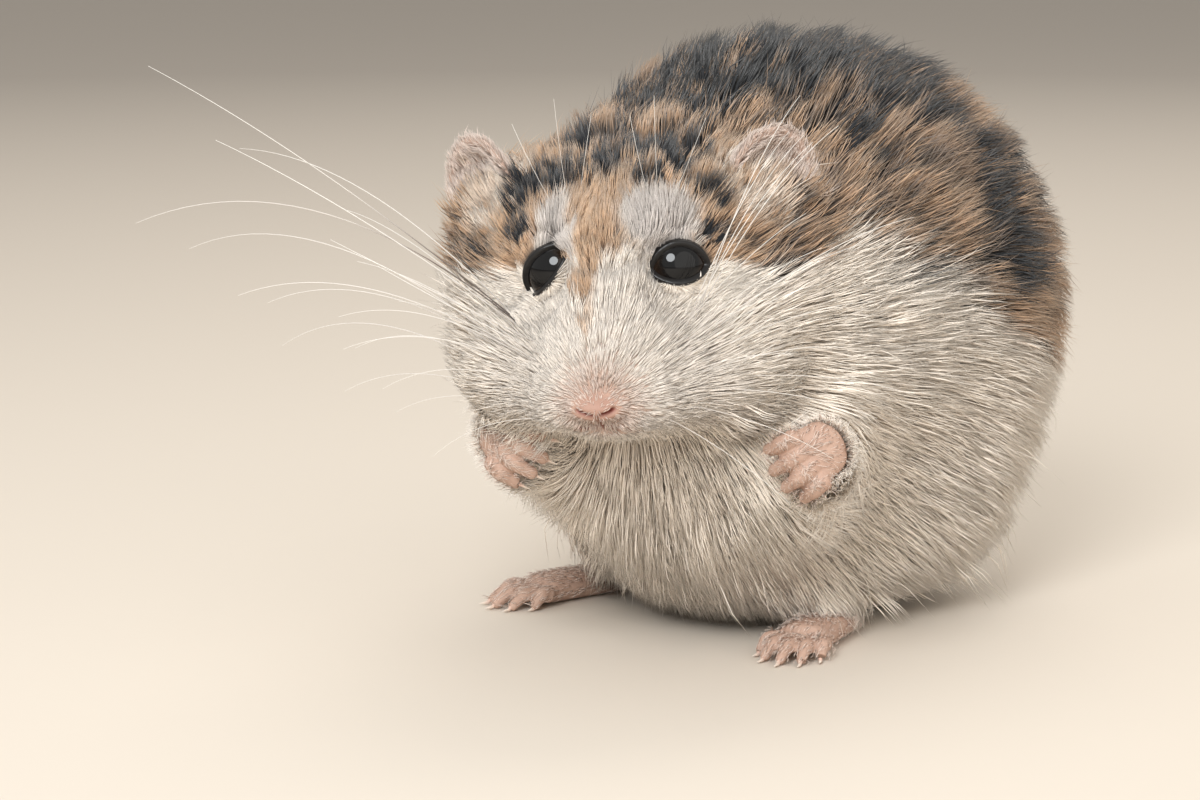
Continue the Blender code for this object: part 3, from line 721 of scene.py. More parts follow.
def coat_colours():
    """Node group: the colour of a hair from its markings, the place along it and its own tone."""
    tree = bpy.data.node_groups.new("coat colours", "ShaderNodeTree")
    for name in ("Dark", "Tan", "Brow", "Pink", "Along", "Tone"):
        tree.interface.new_socket(name, in_out="INPUT", socket_type="NodeSocketFloat")
    tree.interface.new_socket("Colour", in_out="OUTPUT", socket_type="NodeSocketColor")
    given = tree.nodes.new("NodeGroupInput").outputs
    result = tree.nodes.new("NodeGroupOutput").inputs
    along = given["Along"]
    # white hairs: their own cream, made warmer and darker towards the root as painted warm bounce light and
    # shade
    cream_with_painted_bounce = ((0.0, (0.88, 0.74, 0.60)), (0.3, (0.94, 0.84, 0.73)), (1.0, (0.97, 0.90, 0.82)))
    sandy = (
        (0.0, (0.07, 0.065, 0.06)),
        (0.38, (0.14, 0.11, 0.09)),
        (0.6, (0.54, 0.35, 0.22)),
        (1.0, (0.80, 0.60, 0.43)),
    )
    slate = ((0.0, (0.034, 0.036, 0.040)), (0.6, (0.020, 0.022, 0.026)), (1.0, (0.014, 0.015, 0.018)))
    grey = (
        (0.0, (0.10, 0.09, 0.09)),
        (0.4, (0.32, 0.29, 0.27)),
        (0.7, (0.62, 0.56, 0.52)),
        (1.0, (0.78, 0.71, 0.66)),
    )
    flesh = (0.58, 0.38, 0.31)
    colour = graded(tree, along, *cream_with_painted_bounce)
    for mark, stops in (("Tan", sandy), ("Brow", grey), ("Dark", slate)):
        colour = mix_colour(tree, given[mark], colour, graded(tree, along, *stops))
    blush = maths(tree, "MULTIPLY", given["Pink"], BLUSH)
    colour = mix_colour(tree, blush, colour, flesh)
    light = maths(tree, "ADD", maths(tree, "MULTIPLY", given["Tone"], TONE_RANGE), TONE_LOW)
    shade = add(tree, "ShaderNodeVectorMath", {0: colour, "Scale": light}, operation="SCALE")
    tree.links.new(shade.outputs[0], result["Colour"])
    return tree


COAT_COLOURS = coat_colours()


def attribute(tree, name, part=None):
    """Reads an attribute that was stored on the mesh. Part is X, Y or Z of a vector."""
    node = add(tree, "ShaderNodeAttribute", attribute_name=name)
    if part is None:
        return node.outputs["Fac"]
    return add(tree, "ShaderNodeSeparateXYZ", {0: node.outputs["Vector"]}).outputs[part]


def new_material(name, roughness, specular=0.4):
    """A material, its node tree and its shader's inputs."""
    material = bpy.data.materials.new(name)
    material.use_nodes = True
    shader = material.node_tree.nodes["Principled BSDF"].inputs
    shader["Roughness"].default_value = roughness
    shader["Specular IOR Level"].default_value = specular
    return material, material.node_tree, shader


def painted_by_markings(tree, along, tone):
    """The coat's colour at a share along a hair, by the markings stored on the mesh."""
    marks = {"Dark": "X", "Tan": "Y", "Brow": "Z"}
    given = {name: attribute(tree, "tint", part) for name, part in marks.items()}
    given |= {"Pink": attribute(tree, "pink"), "Along": along, "Tone": tone}
    return add(tree, "ShaderNodeGroup", given, node_tree=COAT_COLOURS).outputs["Colour"]


def hide_material():
    """Undercoat colour under fur, pink where bare, near black on the lids, and dark red in the grooves of
    the nose and mouth as painted shade, partly their darker flesh; pored.
    """
    material, tree, shader = new_material("hide", 0.55, 0.35)
    under = painted_by_markings(tree, 0.5, 0.45)
    flesh = mix_colour(tree, noise_at(tree, 900), (0.52, 0.36, 0.28), (0.40, 0.25, 0.19))
    # painted shade: the grooves of the nostrils, lip and mouth, and a little round the nose tip, are
    # darkened towards dark red; partly the darker flesh inside them
    groove_shade = maths(tree, "MULTIPLY", attribute(tree, "groove"), 3.0)
    raw = mix_colour(tree, groove_shade, flesh, (0.22, 0.06, 0.045))
    colour = mix_colour(tree, attribute(tree, "pink"), under, raw)
    colour = mix_colour(tree, attribute(tree, "lid"), colour, (0.010, 0.009, 0.009))
    tree.links.new(colour, shader["Base Color"])
    wet = {"Value": attribute(tree, "lid"), "To Min": 0.6, "To Max": 0.3}
    tree.links.new(add(tree, "ShaderNodeMapRange", wet).outputs[0], shader["Roughness"])
    pores = {"Height": noise_at(tree, 5200, 3.0), "Strength": 0.35, "Distance": 0.00008}
    tree.links.new(add(tree, "ShaderNodeBump", pores).outputs[0], shader["Normal"])
    return material


hide.data.materials.append(hide_material())
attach(hide, "root")
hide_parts(*[n for n in NODES if not n.endswith("_eye")])


# ---------------------------------------------------------------- eyeballs
# Two round glossy eyes, nearly black. Each sits in its lids, which close over its edge.

EYE_RINGS, EYE_SEGMENTS = 48, 64


def eye_material():
    material, tree, shader = new_material("eye", 0.04, 0.42)
    shader["IOR"].default_value = 1.45
    brown = mix_colour(tree, noise_at(tree, 2600), (0.006, 0.004, 0.003), (0.020, 0.010, 0.005))
    # the brown ring is partly the dark iris and partly a painted reflection of the brown lid and fur above
    colour = mix_colour(tree, attribute(tree, "iris_and_reflection"), (0.0035, 0.0035, 0.004), brown)
    tree.links.new(colour, shader["Base Color"])
    return material


eye_finish = eye_material()
for name, side in (("left", LEFT), ("right", RIGHT)):
    long_way, high_way, out = eye_axes(side)
    work = bmesh.new()
    bmesh.ops.create_uvsphere(work, u_segments=EYE_SEGMENTS, v_segments=EYE_RINGS, radius=EYE_RADIUS)
    for v in work.verts:
        ball = np.array(v.co)
        v.co = EYES[side] + ball[0] * long_way + ball[1] * high_way + ball[2] * out
    if side == RIGHT:
        bmesh.ops.reverse_faces(work, faces=work.faces)
    work.normal_update()
    ball = [v.co[:] for v in work.verts]
    skins = [[v.index for v in face.verts] for face in work.faces]
    work.free()
    eye = object_of(name + "_eyeball", ball, skins)
    eye.data.shade_smooth()
    toward = (np.array(ball) - EYES[side]) / EYE_RADIUS
    # a faint brown ring set a little above the eye's middle: partly the iris, partly a painted reflection
    ring = toward @ unit(out + 0.15 * high_way)
    store(eye.data, "iris_and_reflection", smooth_step(0.5, 0.62, ring) * smooth_step(0.86, 0.72, ring))
    eye.data.materials.append(eye_finish)
    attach(eye, "root")
    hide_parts(name + "_eye")


# ---------------------------------------------------------------- the coat
# Guard hairs and down in locks over the whole skin, each hair a thin closed cone. They spread from
# the nose, lie back along the body and droop on the flanks, and their tips end at the solids'
# outside. Geometry Nodes grow them from roots scattered on the skin.

CHANCE = np.random.default_rng(11)
LAYER_LIMIT = 190000  # triangles in one layer
TUFT_PATCH = 0.003  # width of a hair's patch on the unwrap
LONG_HAIR, FINE_HAIR = (3, 16), (2, 10)  # segments and triangles of a hair
LONG_SHARE = 0.22  # share of the body hairs that are made of three segments
BODY_COUNT, FINE_COUNT = 20, 58  # hairs on 1 mm2 of body, and how many more where they are shortest
PAW_SHARE, EAR_SHARE = 0.16, 0.6  # how much of that grows on paws, feet and tail, and on ears
BODY_GIRTH, FINE_GIRTH = 0.043, 0.021  # radius at the root, and how much less where shortest
LOCK_GAP, FINE_LOCK_GAP = 1.15, 0.65  # between locks on the body, and how much less where shortest
RISE, CROWN_RISE, BELLY_RISE, STRAY_RISE = 17, 17, 8, 9  # degrees off the skin; crown and strays add
STRAY_SHARE = 0.05  # hairs that leave their lock
TURN_SPREAD, LONG_SPREAD = 0.15, 0.09  # how much locks differ in direction and in length
BOW = 0.10  # how far a hair's middle rises over its chord, as a share of it

fineness = smooth_step(4.6, 1.6, length)  # 0 for body hair, 1 for the shortest
count_field = BODY_COUNT + FINE_COUNT * fineness ** 1.3
girth = BODY_GIRTH - FINE_GIRTH * fineness
bare = smooth_step(-0.06, -0.16, lid_edge - lid_rim)
bare = np.maximum(bare, smooth_step(1.25, 0.8, from_nose) * 0.75)
bare = np.maximum(bare, smooth_step(0.04, 0.14, groove))
bare = np.maximum(bare, on_foot * smooth_step(-0.35, -0.6, normal[:, 2]))
count_field *= 1 - np.clip(bare, 0, 1)
count_field *= np.where(on_paw | on_foot | on_tail, PAW_SHARE, np.where(on_ear, EAR_SHARE, 1.0))
count_field *= 1 + 0.6 * smooth_step(3.0, 1.0, lid_edge)
belly_side = smooth_step(3.0, 0.6, skin[:, 2]) * ~(on_foot | on_paw)
count_field *= 1 - 0.6 * belly_side

# roots, spread evenly by area and number
corner = [skin[triangles[:, k]] for k in range(3)]
area = np.linalg.norm(np.cross(corner[1] - corner[0], corner[2] - corner[0]), axis=1) / 2
wanted = area * count_field[triangles].mean(1)
reach = np.cumsum(wanted)
number = int(reach[-1])
picked = np.searchsorted(reach, (np.arange(number) + CHANCE.random(number)) * (reach[-1] / number))
picked = np.minimum(picked, len(triangles) - 1)
u, v = CHANCE.random(number), CHANCE.random(number)
flip = u + v > 1
u[flip], v[flip] = 1 - u[flip], 1 - v[flip]
weights = np.stack((1 - u - v, u, v), 1)


def at_roots(values):
    chosen = values[triangles[picked]]
    return (chosen * weights.reshape(weights.shape + (1,) * (chosen.ndim - 2))).sum(1)


root = at_roots(skin)
root_normal = unit(at_roots(normal))
root_lie = unit(at_roots(lie))
root_length, root_girth, root_fine = at_roots(length), at_roots(girth), at_roots(fineness)
root_tint, root_pink = at_roots(tint), at_roots(pink)
seat = (unwrap[picked] * weights[:, :, None]).sum(1)
root_head = in_head(root)
root_nose = at_roots(from_nose)

# locks: each hair leans to the nearest lock, and the lock has a lean, tone and length of its own
lock_gap = LOCK_GAP - FINE_LOCK_GAP * root_fine
chosen = CHANCE.random(number) < 1 / (at_roots(count_field) * lock_gap ** 2 * 0.8)
locks = np.flatnonzero(chosen)
tree = KDTree(len(locks))
for place, index in enumerate(locks):
    tree.insert(Vector(root[index]), place)
tree.balance()
jitter = CHANCE.normal(0, 0.16, (number, 3)) * lock_gap[:, None]
lock_of = np.array([tree.find(Vector(p))[1] for p in root + jitter])
lock_turn, lock_rise, lock_tone, lock_long = (CHANCE.normal(0, 1, len(locks))[lock_of] for _ in range(4))
stray = CHANCE.random(number) < STRAY_SHARE

ruffle = 0.35 + 0.65 * root_tint[:, 1]
turn = (lock_turn * TURN_SPREAD * ruffle + CHANCE.normal(0, 0.07, number)) * np.where(stray, 1.8, 1)
sideways = np.cross(root_normal, root_lie)
way = root_lie * np.cos(turn)[:, None] + sideways * np.sin(turn)[:, None]
marked = np.maximum(root_tint[:, 1], root_tint[:, 2])
rise = RISE + 4 * marked + (2 + 2 * marked) * lock_rise
rise += CHANCE.normal(0, 3, number) + STRAY_RISE * stray
rise = np.radians(rise)
crown = smooth_step(0.5, 3.5, root_head[:, 1]) * smooth_step(14, 7, root_head[:, 1])
crown *= smooth_step(1.5, 4, root_head[:, 2])
rise += np.radians(CROWN_RISE) * crown
rise = np.where(at_roots(belly_side) > 0.4, np.radians(BELLY_RISE), rise)
real_length = root_length * np.clip(1 + LONG_SPREAD * lock_long + CHANCE.normal(0, 0.08, number), 0.6, 1.4)
tip = root + (way * np.cos(rise)[:, None] + root_normal * np.sin(rise)[:, None]) * real_length[:, None]

# the tips of a lock draw together
gather = 0.02 + 0.33 * root_tint[:, 1] + 0.2 * crown
gather += 0.38 * smooth_step(6.5, 3.5, root_nose) - 0.1 * root_tint[:, 2]
gather = np.clip(gather + CHANCE.normal(0, 0.12, number), 0, 0.85)
gather = np.where(stray, 0, gather)
tip += (tip[locks][lock_of] - tip) * gather[:, None]

# tips end near the outside of the solids, strays a little beyond
cheek = smooth_step(6.5, 9.0, np.abs(root_head[:, 0])) * smooth_step(2.0, -1.0, root_head[:, 2])
cheek *= root_head[:, 1] < 6
proud = np.where(stray, 0.9, 0.2 + 0.15 * lock_long) * np.clip(root_length / 3, 0.2, 1) + 0.7 * cheek
sunk = -np.clip(root_length * 0.16, 0.1, 0.9) - 2.2 * smooth_step(2.6, 0.9, at_roots(lid_edge))
for index in range(number):
    place, outside, _, gap = solids.find_nearest(Vector(tip[index]))
    height = gap if (Vector(tip[index]) - place).dot(outside) > 0 else -gap
    wanted_height = min(max(height, sunk[index]), proud[index])
    if wanted_height != height and gap < 3.5:
        tip[index] += np.array(outside) * (wanted_height - height)
tip[:, 2] = np.maximum(tip[:, 2], 0.08 + 0.3 * CHANCE.random(number) * (real_length > 2))
chord = tip - root
chord_length = np.linalg.norm(chord, axis=1)
bow = (root_normal * BOW + CHANCE.normal(0, 0.025, (number, 3))) * chord_length[:, None]
bow[:, 2] = np.maximum(bow[:, 2], 0.06 - np.minimum(root[:, 2], tip[:, 2]))
tone = np.clip(0.5 + (0.07 + 0.09 * marked) * lock_tone + CHANCE.normal(0, 0.13, number), 0, 1)
wide = np.clip(1 + CHANCE.normal(0, 0.18, number), 0.6, 1.5) * np.where(stray, 0.6, 1)
start = 0.42 * root_fine
fade = (1 - start) * (1 - 0.34 * np.clip(np.abs(lock_turn) - 0.5, 0, 1) * root_tint[:, 1])
dark_hair = np.clip((root_tint[:, 0] - 0.5 + 0.3 * lock_long) * 3 + 0.5, 0, 1)
root_tint[:, 0] = dark_hair * (root_tint[:, 0] > 0.04)
root_tint[:, 1] = np.clip((root_tint[:, 1] - 0.5 + 0.12 * lock_turn) * 2.4 + 0.5, 0, 1)


def grower(name, *wanted):
    """An empty Geometry Nodes tree with named inputs: its tree, its inputs, its output."""
    tree = bpy.data.node_groups.new(name, "GeometryNodeTree")
    tree.interface.new_socket("Geometry", in_out="INPUT", socket_type="NodeSocketGeometry")
    tree.interface.new_socket("Material", in_out="INPUT", socket_type="NodeSocketMaterial")
    for name, kind, value in (("Patch", "Float", TUFT_PATCH), *wanted):
        socket = tree.interface.new_socket(name, in_out="INPUT", socket_type="NodeSocket" + kind)
        socket.default_value = value
    tree.interface.new_socket("Geometry", in_out="OUTPUT", socket_type="NodeSocketGeometry")
    return tree, tree.nodes.new("NodeGroupInput").outputs, tree.nodes.new("NodeGroupOutput").inputs[0]


def stored(tree, name, kind="FLOAT"):
    """Reads a stored attribute."""
    node = add(tree, "GeometryNodeInputNamedAttribute", {"Name": name}, data_type=kind)
    return next(o for o in node.outputs if o.enabled)


def with_attribute(tree, shape, name, value, kind="FLOAT", domain="POINT"):
    """The shape with a value stored on it."""
    inputs = {"Geometry": shape, "Name": name, "Value": value}
    node = add(tree, "GeometryNodeStoreNamedAttribute", inputs, data_type=kind, domain=domain)
    return node.outputs[0]


def with_patches(tree, shape, given):
    """The shape seated on the unwrap: a patch at each root's place."""
    seat_at = stored(tree, "seat", "FLOAT_VECTOR")
    seat_at = add(tree, "ShaderNodeSeparateXYZ", {0: seat_at}).outputs
    place = {}
    for part, name in (("X", "across"), ("Y", "along")):
        step = maths(tree, "MULTIPLY", stored(tree, name), given["Patch"])
        place[part] = maths(tree, "ADD", seat_at[part], step)
    spot = add(tree, "ShaderNodeCombineXYZ", place).outputs[0]
    return with_attribute(tree, shape, "OFBake", spot, "FLOAT2", "CORNER")


def finished(tree, shape, given, result):
    """Smooth, realized, and with its material."""
    shape = add(tree, "GeometryNodeSetShadeSmooth", {"Geometry": shape}).outputs[0]
    shape = add(tree, "GeometryNodeRealizeInstances", {0: shape}).outputs[0]
    inputs = {"Geometry": shape, "Material": given["Material"]}
    tree.links.new(add(tree, "GeometryNodeSetMaterial", inputs).outputs[0], result)
    return tree


def tuft_tree():
    """Geometry Nodes: a tapered closed cone on each root, bowed and seated on the unwrap."""
    tree, given, result = grower("grow hairs", ("Segments", "Int", 3), ("Fullness", "Float", 1.3))

    # one hair along +Z, a unit long and a unit in radius at the root
    inputs = {"Vertices": 3, "Side Segments": given["Segments"]}
    inputs |= {"Radius Top": 0, "Radius Bottom": 1, "Depth": 1}
    hair = add(tree, "GeometryNodeMeshCone", inputs, fill_type="NGON").outputs["Mesh"]
    spot = tree.nodes.new("GeometryNodeInputPosition").outputs[0]
    x, y, z = add(tree, "ShaderNodeSeparateXYZ", {0: spot}).outputs
    hair = with_attribute(tree, hair, "along", z)
    across = maths(tree, "ADD", maths(tree, "MULTIPLY", x, 0.5), 0.5)
    hair = with_attribute(tree, hair, "across", across)
    fuller = maths(tree, "ADD", maths(tree, "MULTIPLY", z, given["Fullness"]), 1.0)
    wider = {0: maths(tree, "MULTIPLY", x, fuller), 1: maths(tree, "MULTIPLY", y, fuller), 2: z}
    shaped = add(tree, "ShaderNodeCombineXYZ", wider).outputs[0]
    hair = add(tree, "GeometryNodeSetPosition", {"Geometry": hair, "Position": shaped}).outputs[0]

    # set on each root
    chord_at = stored(tree, "chord", "FLOAT_VECTOR")
    aim = add(tree, "FunctionNodeAlignRotationToVector", {"Vector": chord_at}, axis="Z").outputs[0]
    long_by = add(tree, "ShaderNodeVectorMath", {0: chord_at}, operation="LENGTH").outputs["Value"]
    thick = stored(tree, "girth")
    size = add(tree, "ShaderNodeCombineXYZ", {0: thick, 1: thick, 2: long_by}).outputs[0]
    inputs = {"Points": given["Geometry"], "Instance": hair, "Rotation": aim, "Scale": size}
    coat = add(tree, "GeometryNodeInstanceOnPoints", inputs).outputs[0]
    coat = add(tree, "GeometryNodeRealizeInstances", {0: coat}).outputs[0]

    # bowed, seated on the unwrap and coloured along its length
    along = stored(tree, "along")
    arch = maths(tree, "MULTIPLY", along, maths(tree, "SUBTRACT", 1.0, along))
    inputs = {0: stored(tree, "bow", "FLOAT_VECTOR"), "Scale": maths(tree, "MULTIPLY", arch, 4.0)}
    bend = add(tree, "ShaderNodeVectorMath", inputs, operation="SCALE").outputs[0]
    coat = add(tree, "GeometryNodeSetPosition", {"Geometry": coat, "Offset": bend}).outputs[0]
    coat = with_patches(tree, coat, given)
    shade = maths(tree, "ADD", stored(tree, "start"), maths(tree, "MULTIPLY", along, stored(tree, "fade")))
    return finished(tree, with_attribute(tree, coat, "along", shade), given, result)


def grown_by(tree, source, settings, spare):
    """The plain mesh that a tree makes of an object, without the attributes in `spare`."""
    modifier = source.modifiers.new("grow", "NODES")
    modifier.node_group = tree
    sockets = {i.name: i.identifier for i in tree.interface.items_tree if i.in_out == "INPUT"}
    for name, value in settings.items():
        modifier[sockets[name]] = value
    mesh = baked(source)
    for name in spare:
        if name in mesh.attributes:
            mesh.attributes.remove(mesh.attributes[name])
    return mesh


def piece_of(name, mesh):
    """A piece of the model from its finished mesh."""
    mesh.name = name
    piece = bpy.data.objects.new(name, mesh)
    bpy.context.scene.collection.objects.link(piece)
    return piece


def hair_material():
    material, tree, shader = new_material("coat", 0.62, 0.2)
    shader["Sheen Weight"].default_value = 0.14
    shader["Sheen Roughness"].default_value = 0.5
    colour = painted_by_markings(tree, attribute(tree, "along"), attribute(tree, "tone"))
    tree.links.new(colour, shader["Base Color"])
    return material


GROW = tuft_tree()
coat_finish = hair_material()


def grown(name, which, segments):
    """The hairs at the roots in `which`, as one plain mesh."""
    roots = object_of(name, root[which], [])
    for label, values in (
        ("chord", chord * mm),
        ("bow", bow * mm),
        ("girth", root_girth * wide * mm),
        ("seat", np.pad(seat, ((0, 0), (0, 1)))),
        ("tint", root_tint),
        ("pink", root_pink),
        ("tone", tone),
        ("start", start),
        ("fade", fade),
    ):
        store(roots.data, label, values[which])
    settings = {"Segments": segments, "Material": coat_finish}
    return grown_by(GROW, roots, settings, ("chord", "bow", "girth", "seat", "across", "start", "fade"))


is_fine = (root_length < 2.6) | (CHANCE.random(number) > LONG_SHARE)
order = CHANCE.permutation(number)
for kind, mask, (segments, per_hair) in (("guard", ~is_fine, LONG_HAIR), ("down", is_fine, FINE_HAIR)):
    chosen = order[mask[order]]
    layers = int(np.ceil(len(chosen) * per_hair / LAYER_LIMIT))
    for layer in range(layers):
        name = f"coat_{kind}_{layer + 1}"
        hairs = piece_of(name, grown(name, np.sort(chosen[layer::layers]), segments))
        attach(hairs, "root")


# ---------------------------------------------------------------- claws
# A small pale horn claw on each finger and toe. It grows from the end of the digit and curves down.

CLAW_SIZES = {"forepaw": (0.8, 0.12), "hind_foot": (1.0, 0.14)}  # length, radius at the root
CLAW_STEPS, CLAW_SIDES, CLAW_HOOK = 8, 8, 0.35


def tube_tree():
    """Geometry Nodes: a closed tube along each run of edges, as thick as its points say."""
    tree, given, result = grower("draw tubes", ("Sides", "Int", 6))
    path = add(tree, "GeometryNodeMeshToCurve", {"Mesh": given["Geometry"]}).outputs[0]
    inputs = {"Curve": path, "Radius": stored(tree, "girth")}
    thick = add(tree, "GeometryNodeSetCurveRadius", inputs).outputs[0]
    inputs = {"Resolution": given["Sides"], "Radius": 1}
    ring = add(tree, "GeometryNodeCurvePrimitiveCircle", inputs).outputs["Curve"]
    turn = tree.nodes.new("GeometryNodeSplineParameter").outputs["Factor"]
    ring = with_attribute(tree, ring, "across", turn)
    inputs = {"Curve": thick, "Profile Curve": ring, "Scale": stored(tree, "girth"), "Fill Caps": True}
    tube = add(tree, "GeometryNodeCurveToMesh", inputs).outputs[0]
    return finished(tree, with_patches(tree, tube, given), given, result)


DRAW = tube_tree()
skin_tree = BVHTree.FromPolygons(skin.tolist(), triangles.tolist())


def seat_of(spot):
    """The place on the unwrap of the skin nearest to a point."""
    place, _, face_index, _ = skin_tree.find_nearest(Vector(spot))
    corners = [Vector(skin[k]) for k in triangles[face_index]]
    on_map = [Vector((*uv, 0)) for uv in unwrap[face_index]]
    return np.array(barycentric_transform(place, *corners, *on_map))


def tubes(name, paths, radii, seats, sides, material, starts=0.0):
    """Closed tubes along some paths, as one piece. Each one's colours begin at its start."""
    steps = len(paths[0])
    lines = [(k * steps + i, k * steps + i + 1) for k in range(len(paths)) for i in range(steps - 1)]
    drawn = object_of(name, np.concatenate(paths), [], lines)
    starts = np.broadcast_to(starts, len(paths))[:, None]
    store(drawn.data, "girth", np.concatenate(radii) * mm)
    store(drawn.data, "along", (starts + (1 - starts) * np.linspace(0, 1, steps)).ravel())
    store(drawn.data, "seat", np.repeat(seats, steps, axis=0))
    settings = {"Sides": sides, "Material": material}
    return piece_of(name, grown_by(DRAW, drawn, settings, ("girth", "seat", "across", "radius", "tilt")))


def claw_material():
    material, tree, shader = new_material("claw horn", 0.35, 0.5)
    stops = ((0.0, (0.66, 0.42, 0.34)), (0.5, (0.78, 0.66, 0.56)), (1.0, (0.86, 0.80, 0.72)))
    horn = graded(tree, attribute(tree, "along"), *stops)
    grain = maths(tree, "MULTIPLY", noise_at(tree, 9000), 0.3)
    colour = mix_colour(tree, grain, horn, (0.45, 0.30, 0.22))
    tree.links.new(colour, shader["Base Color"])
    return material


paths, radii, seats = [], [], []
for limb, (lines, digit_radii) in DIGITS.items():
    long, wide_root = CLAW_SIZES[limb.split("_", 1)[1]]
    share = np.linspace(0, 1, CLAW_STEPS)[:, None]
    for line in lines:
        way = unit(line[-1] - line[-5])
        hook = unit(line[-1] - 2 * line[-7] + line[-13])
        start_at = line[-1] + way * digit_radii[-1] * 0.55 - hook * digit_radii[-1] * 0.25
        path = start_at + way * long * share + hook * CLAW_HOOK * long * share ** 2
        path[:, 2] = np.maximum(path[:, 2], 0.17)
        paths.append(path)
        radii.append(wide_root * (1.04 - share[:, 0] ** 1.6))
        seats.append(seat_of(line[-1]))
claws = tubes("claws", paths, radii, seats, CLAW_SIDES, claw_material())
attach(claws, "root")


# ---------------------------------------------------------------- whiskers
# Stiff tapered hairs in rows on each side of the muzzle, and a few over the eyes. They are dark at
# the root and pale towards the tip. The right ones fan out, the left ones lie back by the cheek.

WHISKER_STEPS, WHISKER_SIDES = 22, 6
WHISKER_RADII = (0.045, 0.012)
PAD_ROWS, PAD_COLUMNS = 5, 4
PAD_TOP, PAD_LOW = np.array((3.3, -7.2, -2.6)), np.array((3.0, -7.4, -5.6))  # front ends of the pad
PAD_BACK = np.array((1.5, 3.2, 0.35))  # from its front column to its rear one
# tips of the long right whiskers, from the top row down, and how far each bows upward
RIGHT_TIPS = (
    ((-27.8, -26.2, 36.8), 0.00),
    ((-26.5, -19.4, 31.0), 0.10),
    ((-27.8, -27.6, 26.7), 0.19),
    ((-27.5, -23.2, 24.6), 0.20),
    ((-20.8, -21.4, 18.6), 0.22),
)
LEFT_LONG = (9.0, 15.0)  # lengths of the left whiskers, front column and rear column
FRONT_SHARE = 0.42  # length of a front whisker as a share of the rear one in its row
DARK_ROWS = (0, 2)  # rows of the right pad whose rear whisker is dark along half of it
PALE_START = 0.3  # where along its colours a pale whisker begins
WHISKER_LIMITS = (-27.9, 19.9)  # how far right and left a tip may reach
# over the eye: roots, and how far the tips stand from them (across, back, up)
BROW_WHISKERS = (
    ((3.0, 1.0, 4.2), (0.3, 0.4, 7.0)),
    ((3.6, 0.6, 3.7), (2.6, 1.5, 5.5)),
    ((2.4, 1.6, 4.7), (-1.0, 1.5, 5.0)),
)


def whisker(root, tip, rise):
    """A path that leaves the skin at root and bows on its way to tip."""
    share = np.linspace(0, 1, WHISKER_STEPS)[:, None]
    bend = (root + tip) / 2 + rise
    return root * (1 - share) ** 2 + bend * 2 * share * (1 - share) + tip * share ** 2


paths, radii, seats = [], [], []
for side in (LEFT, RIGHT):
    for row in range(PAD_ROWS):
        for column in range(PAD_COLUMNS):
            down, behind = row / (PAD_ROWS - 1), column / (PAD_COLUMNS - 1)
            spot = PAD_TOP + (PAD_LOW - PAD_TOP) * down + PAD_BACK * behind
            spot = spot + CHANCE.normal(0, 0.12, 3)
            place, facing, _, _ = skin_tree.find_nearest(Vector(from_head(spot * (side, 1, 1))))
            root_at = np.array(place) - 0.1 * np.array(facing)
            if side == RIGHT:
                tip_at, rise = np.array(RIGHT_TIPS[row][0]), RIGHT_TIPS[row][1]
                share = FRONT_SHARE + (1 - FRONT_SHARE) * behind ** 1.5
                share *= 1 - 0.12 * CHANCE.random() * (column < PAD_COLUMNS - 1)
                forward = -BACK * (1 - behind) * 3.5 - UP * (1 - behind) * down * 2.5
                tip_at = root_at + (tip_at - root_at) * share + forward
            else:
                long = LEFT_LONG[0] + (LEFT_LONG[1] - LEFT_LONG[0]) * behind
                rise = 0.12
                aim = np.array(facing) * 0.55 + ACROSS * 0.5
                aim += BACK * (0.25 + 0.5 * behind) + UP * (0.45 - 0.75 * down)
                tip_at = root_at + unit(aim) * long * (0.9 + 0.2 * CHANCE.random())
            loose = CHANCE.normal(0, 0.035, 3) * (column < PAD_COLUMNS - 1)
            tip_at = tip_at + loose * np.linalg.norm(tip_at - root_at)
            tip_at[0] = np.clip(tip_at[0], *WHISKER_LIMITS)
            tip_at[2] = max(tip_at[2], 1.0)
            long = np.linalg.norm(tip_at - root_at)
            lift = np.array((0, 0, rise * long)) + np.array(facing) * 0.08 * long
            paths.append(whisker(root_at, tip_at, lift))
            thick = 0.45 + 0.55 * min(1, long / 24)
            taper = np.linspace(1, 0, WHISKER_STEPS) ** 0.8
            radii.append((WHISKER_RADII[1] + (WHISKER_RADII[0] - WHISKER_RADII[1]) * taper) * thick)
            seats.append(seat_of(root_at))
    for spot, reach in BROW_WHISKERS:
        place, facing, _, _ = skin_tree.find_nearest(Vector(from_head(np.array(spot) * (side, 1, 1))))
        root_at = np.array(place)
        tip_at = root_at + np.array(reach) * (side, 1, 1) @ HEAD_AXES
        paths.append(whisker(root_at, tip_at, -0.6 * BACK))
        taper = (WHISKER_RADII[0] - WHISKER_RADII[1]) * 0.3 * np.linspace(1, 0, WHISKER_STEPS)
        radii.append(0.7 * WHISKER_RADII[1] + taper)
        seats.append(seat_of(root_at))


def whisker_material():
    material, tree, shader = new_material("whisker", 0.35, 0.5)
    stops = (
        (0.0, (0.05, 0.035, 0.03)),
        (0.22, (0.16, 0.12, 0.10)),
        (0.45, (0.62, 0.57, 0.52)),
        (1.0, (0.88, 0.85, 0.80)),
    )
    tree.links.new(graded(tree, attribute(tree, "along"), *stops), shader["Base Color"])
    return material


starts = np.full(len(paths), PALE_START)
before_right_pad = PAD_ROWS * PAD_COLUMNS + len(BROW_WHISKERS)
starts[[before_right_pad + PAD_COLUMNS * row + PAD_COLUMNS - 1 for row in DARK_ROWS]] = 0
whiskers = tubes("whiskers", paths, radii, seats, WHISKER_SIDES, whisker_material(), starts)
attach(whiskers, "root")


# ---------------------------------------------------------------- floor, light and camera
# A plain pale floor that darkens far off as painted shade, a soft round lamp like a window before the
# face, a wider one at its left to fill the shade, a weaker one behind, and an even sky.

